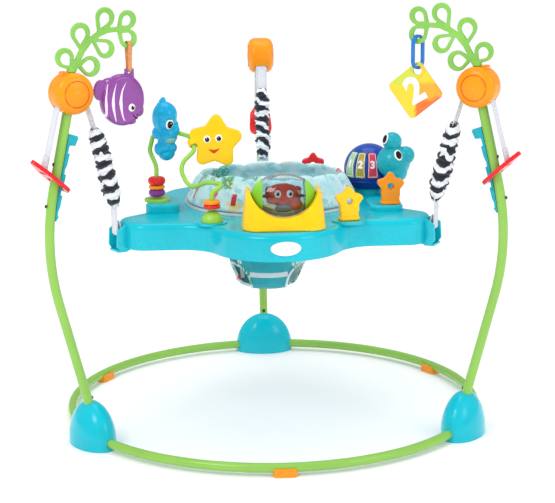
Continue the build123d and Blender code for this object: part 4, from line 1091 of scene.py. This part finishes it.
# keys: digits and pale borders
for nm, txt, a in (("one", "1", 216), ("two", "2", 244), ("three", "3", 272)):
    el = radians(16)
    ar = radians(a)
    n_ = Vector((cos(ar) * cos(el), sin(ar) * cos(el), sin(el)))
    c = V(TX, TY, ZT + 38) + n_ * 0.0566
    put(digit("key_digit_" + nm, txt, c - n_ * 0.0003, n_, (0, 0, 1), 0.0215, 0.0005, "white"), "key_" + nm)
    si = Vector((-sin(ar), cos(ar), 0))
    up = n_.cross(si)
    ring = []
    w0, w1, h0, h1 = 9.6, 6.4, -24.5, 24.5
    corner = [(-w0, h0), (w0, h0), (w1, h1), (-w1, h1)]
    for k in range(4):
        p, q = corner[k], corner[(k + 1) % 4]
        for f in range(8):
            x, y = p[0] + (q[0] - p[0]) * f / 8, p[1] + (q[1] - p[1]) * f / 8
            dd = sqrt(max(0.0, 56.55 ** 2 - x * x - y * y))
            ring.append(V(TX, TY, ZT + 38) + (si * x + up * y + n_ * dd) / 1000)
    put(tube("key_border_" + nm, ring, 0.0007, "white", closed=True, n=6), "key_" + nm)

# crab inside the roller
RX0, RY0, RZ0 = 10, -265, 508
lobes = [
    (V(RX0 - 22, RY0 - 17, RZ0 - 6), 0.0085, (1.3, 0.9, 0.8)),
    (V(RX0 + 22, RY0 - 17, RZ0 - 6), 0.0085, (1.3, 0.9, 0.8)),
    (V(RX0, RY0 - 6, RZ0 + 12), 0.0150, (1.3, 0.8, 0.9)),
]
crab = organic("crab_moulded", "crab_figure", "crab", 0.0012, 5, lobes)
put(crab, "crab_roller", ["crab_figure"])
ct = tree(crab)
for tag, x in (("left", RX0 - 11.5), ("right", RX0 + 12.0)):
    loc, nor = hit(ct, V(x, RY0 - 60, RZ0 + 7), (0, 1, 0))
    put(lens("crab_eye_" + tag, loc, nor, (0, 0, 1), 0.0068, 0.0074, ("white", "black"), look=(0.08, -0.05), pupil=0.58, glint=(-0.25, 0.25)), "crab_roller")
pts = [V(RX0 + x, RY0 - 60, RZ0 + z) for x, z in ((-5, -2.5), (-2, -4.5), (0, -5), (2.5, -4.5), (5.5, -2.5))]
put(tube("crab_smile", catmull(on_surface(ct, pts, (0, 1, 0), -0.0001), 4), 0.0007, "black", n=6), "crab_roller")
rock_v = []
rock = organic("crab_rock", "crab_figure", "rock", 0.0012, 2, [(V(RX0, RY0 - 16, RZ0 - 21), 0.0105, (1.6, 0.8, 0.75)), (V(RX0 - 9, RY0 - 17, RZ0 - 22), 0.007, (1.2, 0.9, 0.9)), (V(RX0 + 9, RY0 - 17, RZ0 - 21), 0.007, (1.2, 0.9, 0.9))],
               only=lambda co: (co - V(RX0, RY0 - 16, RZ0 - 22)).length < 0.0205 and co.z < V(0, 0, RZ0 - 13).z and abs(co.x - RX0 / 1000) < 0.019)
put(rock, "crab_roller")


# ------------------------------------------------------------------ soft seat
# collar: a padded ring of printed cloth that leans in over the ring flange
COL = [(179, 453.9), (181, 460), (179.5, 470), (175, 481), (169, 491), (162.5, 501), (157, 508), (151.5, 512.2),
       (147.5, 509.5), (147.5, 501), (150, 490), (153.5, 478), (157, 466), (160, 454.2), (166, 452.9), (173, 452.9)]
CN = 28


def resample(prof, n):
    P = [Vector((a, b)) for a, b in prof]
    P.append(P[0])
    ds = [0]
    for a, b in zip(P, P[1:]):
        ds.append(ds[-1] + (b - a).length)
    out = []
    k = 0
    for i in range(n):
        t = ds[-1] * i / n
        while ds[k + 1] < t:
            k += 1
        out.append(P[k].lerp(P[k + 1], (t - ds[k]) / (ds[k + 1] - ds[k])))
    return out, ds[-1]


prof, per = resample(COL, CN)
NA = 300
verts, uvs = [], []
for i in range(NA):
    a = 2 * pi * i / NA
    for j, p in enumerate(prof):
        r, z = p.x, p.y
        up = max(0.0, (z - 456) / 56)
        w = Vector((cos(a) * 2.6, sin(a) * 2.6, 0.4))
        slow = noise.noise(w) * 3.0 * up
        ph = a * 13 + 1.6 * noise.noise(Vector((cos(a) * 2, sin(a) * 2, 3.1)))
        puff_ = abs(sin(ph / 2))
        pleat = (puff_ ** 0.55 - 0.72) * 5.2 * up ** 0.7
        if r < 156 and z < 511:
            pleat = -0.4 * pleat
        tiny = noise.noise(Vector((cos(a) * 17, sin(a) * 17, z / 13))) * 1.3 * min(1, up * 2)
        dz = (noise.noise(Vector((cos(a) * 3.4, sin(a) * 3.4, 7.7))) * 3.6 + noise.noise(Vector((cos(a) * 11, sin(a) * 11, 1.7))) * 1.2 + (puff_ ** 0.55 - 0.75) * 6.5) * up ** 1.5
        dz += 17.0 * max(0.0, -sin(a)) ** 0.8 * up ** 1.3
        shrink = 2.2 * 1
        # stay a little inside the CAD form; the cloth run then fills it out
        cen = Vector((164, 482))
        d = (Vector((r, z)) - cen)
        q = cen + d * (1 - shrink / max(12.0, d.length))
        rr = q.x + slow * 0.6 + pleat + tiny
        verts.append(V(rr * cos(a), rr * sin(a), max(453.9, q.y + dz)))
        uvs.append((a * 0.17, (j / CN) * per / 1000))
collar = mesh_ob("seat_collar_cloth", verts, grid(CN, NA) + [((NA - 1) * CN + j, (NA - 1) * CN + (j + 1) % CN, (j + 1) % CN, j) for j in range(CN)], "print", uvs)
pin = collar.vertex_groups.new(name="pin")
for i in range(NA):
    for j, p in enumerate(prof):
        if p.y < 455.5:
            pin.add([i * CN + j], 1.0, "REPLACE")
rest = [v.co.copy() for v in collar.data.vertices]
cl = collar.modifiers.new("cloth", "CLOTH")
st_ = cl.settings
st_.use_pressure = True
st_.uniform_pressure_force = 4.0
st_.mass = 0.15
st_.tension_stiffness = 12
st_.compression_stiffness = 6
st_.shear_stiffness = 4
st_.bending_stiffness = 0.6
st_.vertex_group_mass = "pin"
st_.effector_weights.gravity = 0.0
st_.quality = 5
cl.collision_settings.use_self_collision = False
cl.collision_settings.use_collision = False
cl.point_cache.frame_start = 1
cl.point_cache.frame_end = 16
for f in range(1, 17):
    scene.frame_set(f)
baked(collar)
for v, r0 in zip(collar.data.vertices, rest):
    d = v.co - r0
    cap = 0.0042
    if d.length > cap:
        v.co = r0 + d * (cap / d.length)
scene.frame_set(1)
sub = collar.modifiers.new("s", "SUBSURF")
sub.levels = 1
sub.render_levels = 1
baked(collar)
put(collar, "seat", ["seat_collar"])
cot = tree(collar)


def collar_line(a, j0, j1, lift, n=10):
    """points on the collar's outer face at azimuth a (radians), from the foot to the crest"""
    out = []
    for k in range(n):
        f = j0 + (j1 - j0) * k / (n - 1)
        x = f * (len(COL) - 1)
        i = int(x)
        p = Vector(COL[i]).lerp(Vector(COL[min(i + 1, len(COL) - 1)]), x - i)
        q = V(p.x * cos(a), p.x * sin(a), p.y)
        loc, nor, _, _ = cot.find_nearest(q)
        out.append((loc, nor))
    return out


# six red tabs on its outer face
for k, deg in enumerate((202, 241, 299, 338, 64, 116)):
    a = radians(deg)
    pts = collar_line(a, 0.13, 0.27, 0, 8)
    path = [p + n_ * 0.0007 for p, n_ in pts]
    put(ribbon("seat_collar_tab_%d" % (k + 1), path, (-sin(a), cos(a), 0), 0.0125, 0.0016, "tab_red"), "seat")

# bucket: lofted sections, with sewn panels
SEC = [(452.5, 158.5, 158.5), (446, 156.2, 156.2), (432, 140, 138), (418, 123, 117), (404, 108, 101), (392, 101.5, 94.5), (379, 96.8, 89.6), (366, 93, 85.8), (353, 89.4, 82.3), (340, 85.7, 78.7),
       (326, 80.8, 74), (312, 75.4, 69), (298, 70, 63.6), (289, 66, 60), (281, 61.5, 55.5), (276.2, 56, 50.5), (274, 48, 42.5), (273.3, 30, 27), (273.0, 9, 8.5)]


def section(z):
    for (z0, a0_, b0_), (z1, a1_, b1_) in zip(SEC, SEC[1:]):
        if z <= z0 and z >= z1:
            f = (z0 - z) / (z0 - z1)
            return a0_ + (a1_ - a0_) * f, b0_ + (b1_ - b0_) * f
    return SEC[-1][1:]


HOLE = []
for sgn in (-1, 1):
    HOLE.append((Vector((sgn * 30, -10, 330)), Vector((sgn * 0.62, -0.30, -0.72)).normalized()))


def hole_d(p):
    """distance in mm from the nearer leg-hole cylinder (negative inside it)"""
    best = 1e9
    for o, d in HOLE:
        w = p - o
        t = w.dot(d)
        if t < 0:
            continue
        best = min(best, (w - d * t).length - 33.0)
    return best


def bag(a, s, inset):
    """point of the bag at azimuth a, s from 0 (rim) to 1 (bottom)"""
    k = s * (len(SEC) - 1)
    i = min(int(k), len(SEC) - 2)
    f = k - i
    z = SEC[i][0] + (SEC[i + 1][0] - SEC[i][0]) * f
    ra = SEC[i][1] + (SEC[i + 1][1] - SEC[i][1]) * f - inset
    rb_ = SEC[i][2] + (SEC[i + 1][2] - SEC[i][2]) * f - inset
    soft = min(1.0, s * 3.0)
    wrn = noise.noise(Vector((cos(a) * 2.2, sin(a) * 2.2, z / 46))) * 2.6 * soft
    wrn += noise.noise(Vector((cos(a) * 6.0, sin(a) * 6.0, z / 17))) * 1.1 * soft
    wrn += sin(a * 31 + z / 21 + 2 * noise.noise(Vector((cos(a) * 3, sin(a) * 3, 5)))) * 1.0 * max(0.0, 1 - abs(z - 425) / 38)
    lim = 0.9
    wrn = max(-3.2, min(lim, wrn))
    return Vector((max(1.0, ra + wrn) * cos(a), max(1.0, rb_ + wrn) * sin(a), z))


BA, BS = 200, 96
bm = bmesh.new()
vv = [[None] * BA for _ in range(BS + 1)]
for j in range(BS + 1):
    for i in range(BA):
        p = bag(2 * pi * i / BA, 0.999 * j / BS, 1.2)
        vv[j][i] = bm.verts.new(p)
for j in range(BS):
    for i in range(BA):
        bm.faces.new((vv[j][i], vv[j + 1][i], vv[j + 1][(i + 1) % BA], vv[j][(i + 1) % BA]))
bm.faces.new([vv[BS][i] for i in range(BA)])
# cut the leg holes: drop what is inside, then draw the edge vertices onto the cylinder
bm.verts.ensure_lookup_table()
dead = [f for f in bm.faces if hole_d(f.calc_center_median()) < 0.0]
bmesh.ops.delete(bm, geom=dead, context="FACES")
for v in bm.verts:
    if any(e.is_boundary for e in v.link_edges) and hole_d(v.co) < 9 and v.co.z < 440:
        for o, d in HOLE:
            w = v.co - o
            t = w.dot(d)
            if t > 0 and (w - d * t).length < 42:
                rad = w - d * t
                v.co = o + d * t + rad.normalized() * 33.4
zmap = {"front": 0, "left": 1, "right": 2}
for f in bm.faces:
    c = f.calc_center_median()
    a = math.degrees(atan2(c.y, c.x)) % 360
    ax_, by_ = section(c.z)
    fx = c.x
    front = c.y < 0
    if c.z > 402:
        f.material_index = 3
    elif front and abs(fx + 6.5) < 57:
        f.material_index = 0
    elif fx < 0:
        f.material_index = 1
    else:
        f.material_index = 2
    f.smooth = True
me = bpy.data.meshes.new("seat_bucket_cloth")
for v in bm.verts:
    v.co = V(v.co.x, v.co.y, v.co.z)
bm.to_mesh(me)
bm.free()
for mm in ("seat_teal", "seat_dark", "pale_mesh", "print"):
    me.materials.append(MATS[mm])
bucket = link(bpy.data.objects.new("seat_bucket_cloth", me))
uv_of(bucket, lambda vi, p: (atan2(me.vertices[vi].co.y - SY, me.vertices[vi].co.x) * 0.08, me.vertices[vi].co.z))
so = bucket.modifiers.new("t", "SOLIDIFY")
so.thickness = 0.0024
so.offset = -1
baked(bucket)
put(bucket, "seat", ["seat_bucket"])
but = tree(bucket)


def out_at(x, z):
    loc, nor, _, _ = but.ray_cast(V(x, -260, z), Vector((0, 1, 0)))
    return loc, nor


BAG = [bucket]


def lean(ob):
    """the bag hangs a little to one side of the ring"""
    for v in ob.data.vertices:
        z = v.co.z * 1000
        f = max(0.0, min(1.0, (440 - z) / 100))
        f = f * f * (3 - 2 * f)
        v.co.x -= 0.0085 * f
        v.co.z -= 0.0060 * f * max(0.0, min(1.0, (400 - z) / 110))


# printed tapes down the seams, a belt across, and the piping of the leg holes
for tag, x_of in (("left", lambda f: -63.5 + 8 * f), ("right", lambda f: 50.5 - 3 * f)):
    pts = []
    for k in range(40):
        z = 398 - (398 - 284) * k / 39
        loc, nor = out_at(x_of(k / 39), z)
        if loc is None or hole_d(Vector((loc.x * 1000, (loc.y - SY) * 1000, loc.z * 1000))) < -1:
            continue
        pts.append(loc - Vector((0, 0.0008, 0)))
    for _ in range(2):
        pts = [pts[0]] + [(pts[i - 1] + pts[i] * 2 + pts[i + 1]) / 4 for i in range(1, len(pts) - 1)] + [pts[-1]]
    o = ribbon("seat_tape_" + tag, pts, (1, 0.35 if x_of(0) < 0 else -0.35, 0), 0.0135, 0.0014, "tape")
    put(o, "seat")
    BAG.append(o)
pts = []
for k in range(60):
    x = -62 + 112 * k / 59
    loc, nor = out_at(x, 309.5)
    if loc is None:
        continue
    if hole_d(Vector((loc.x * 1000, (loc.y - SY) * 1000, loc.z * 1000))) < 1:
        continue
    pts.append(loc + nor * 0.0011)
for _ in range(2):
    pts = [pts[0]] + [(pts[i - 1] + pts[i] * 2 + pts[i + 1]) / 4 for i in range(1, len(pts) - 1)] + [pts[-1]]
BAG.append(put(ribbon("seat_belt", pts, (0, 0, 1), 0.0105, 0.0014, "belt"), "seat"))
loc, nor = out_at(-62.0, 287)
if loc is not None:
    dot = bpy.data.meshes.new("seat_dot")
    bm = bmesh.new()
    bmesh.ops.create_uvsphere(bm, u_segments=24, v_segments=12, radius=0.0058)
    for v in bm.verts:
        v.co.z *= 0.3
    bm.to_mesh(dot)
    bm.free()
    for p in dot.polygons:
        p.use_smooth = True
    dot.materials.append(MATS["red"])
    o = link(bpy.data.objects.new("seat_dot", dot))
    dot.transform(Matrix.Translation(loc) @ nor.to_track_quat("Z", "Y").to_matrix().to_4x4())
    put(o, "seat")
    BAG.append(o)
for tag, (o_, d_) in zip(("right", "left"), HOLE[::-1]):
    e1 = d_.orthogonal().normalized()
    e2 = d_.cross(e1)
    ring = []
    for k in range(72):
        a = 2 * pi * k / 72
        q = o_ + (e1 * cos(a) + e2 * sin(a)) * 33.6
        lo, hi = -20.0, 150.0

        def inside(p):
            ax_, by_ = section(max(273.0, p.z)) if p.z < 452 else (158, 158)
            return (p.x / max(1, ax_)) ** 2 + (p.y / max(1, by_)) ** 2 < 1 and p.z > 273.0
        for _ in range(28):
            mid = (lo + hi) / 2
            if inside(q + d_ * mid):
                lo = mid
            else:
                hi = mid
        p = q + d_ * (lo - 1.4)
        ring.append(V(p.x, p.y, p.z))
    for _ in range(2):
        ring = [(ring[i - 1] + ring[i] * 2 + ring[(i + 1) % 72]) / 4 for i in range(72)]
    BAG.append(put(tube("seat_hole_piping_" + tag, ring, 0.0036, "tape", closed=True, n=12, squash=0.55), "seat"))

for o in BAG:
    lean(o)

# ------------------------------------------------------------------ the tray shell's mesh
# the seam circles on the housings' caps are drawn above; nothing is added to the tray here
me = nodes["tray_shell"].data


# ------------------------------------------------------------------ room, light, camera
floor_m = M("floor_paper")
nz = floor_m.noise(3.0, 4.0, 0.5)
floor_m.color(floor_m.ramp(nz, [(0.0, (0.925, 0.925, 0.925, 1)), (1.0, (0.94, 0.94, 0.94, 1))]))
floor_m.rough(floor_m.remap(floor_m.noise(9.0, 3.0, 0.5), 0.0, 1.0, 0.60, 0.72))
floor_m.bump(floor_m.noise(420.0, 3.0, 0.6), 0.04, 0.0004)
floor_m.val("Specular IOR Level", 0.0)
fv, ff = [], []
GX = 24
for j in range(GX + 1):
    for i in range(GX + 1):
        fv.append((-45 + 90 * i / GX, -20 + 90 * j / GX, 0.0))
for j in range(GX):
    for i in range(GX):
        q = j * (GX + 1) + i
        ff.append((q, q + 1, q + GX + 2, q + GX + 1))
flo = mesh_ob("floor_sweep", fv, ff, floor_m.mat)

w = bpy.data.worlds.new("studio")
scene.world = w
w.use_nodes = True
bg = w.node_tree.nodes["Background"]
bg.inputs[0].default_value = (0.985, 0.992, 1.0, 1)
bg.inputs[1].default_value = 1.0
# the glossy plastics reflect a dimmer room than the one the camera sees
lp = w.node_tree.nodes.new("ShaderNodeLightPath")
dim = w.node_tree.nodes.new("ShaderNodeMath")
dim.operation = "MULTIPLY_ADD"
dim.inputs[1].default_value = -0.66
dim.inputs[2].default_value = 1.0
w.node_tree.links.new(lp.outputs["Is Glossy Ray"], dim.inputs[0])
w.node_tree.links.new(dim.outputs[0], bg.inputs[1])


def area(name, loc, aim, size, power, colr=(1, 1, 1), sy=None):
    li = bpy.data.lights.new(name, "AREA")
    li.energy = power
    li.color = colr
    li.shape = "RECTANGLE"
    li.size = size
    li.size_y = sy or size
    ob = link(bpy.data.objects.new(name, li))
    d = Vector(aim) - Vector(loc)
    ob.matrix_world = Matrix.Translation(loc) @ d.to_track_quat("-Z", "Y").to_matrix().to_4x4()
    return ob


area("key_softbox", (-1.9, -2.4, 3.0), (0, 0, 0.45), 1.5, 34)
area("fill_softbox", (2.6, -2.2, 1.9), (0, 0, 0.45), 1.4, 14, (0.97, 0.98, 1.0))
area("top_softbox", (0.1, 0.5, 3.4), (0, 0, 0.3), 2.0, 16)

cam = bpy.data.cameras.new("camera")
cam.sensor_width = 36.0
cam.sensor_fit = "HORIZONTAL"
cam.lens = 1594.0 / 555.0 * 36.0
cam.clip_start = 0.05
cam.clip_end = 200.0
co = link(bpy.data.objects.new("camera", cam))
yaw, pitch, roll = radians(3.0), radians(-12.65), radians(-0.56)
fwd = Vector((sin(yaw) * cos(pitch), cos(yaw) * cos(pitch), sin(pitch)))
right = Vector((cos(yaw), -sin(yaw), 0))
up = right.cross(fwd)
r2 = right * cos(roll) + up * sin(roll)
u2 = up * cos(roll) - right * sin(roll)
mt = Matrix((r2, u2, -fwd)).transposed().to_4x4()
mt.translation = (-0.160, -3.325, 1.076)
co.matrix_world = mt
scene.camera = co
scene.view_settings.view_transform = "Standard"
scene.view_settings.look = "None"
scene.view_settings.exposure = 0.12
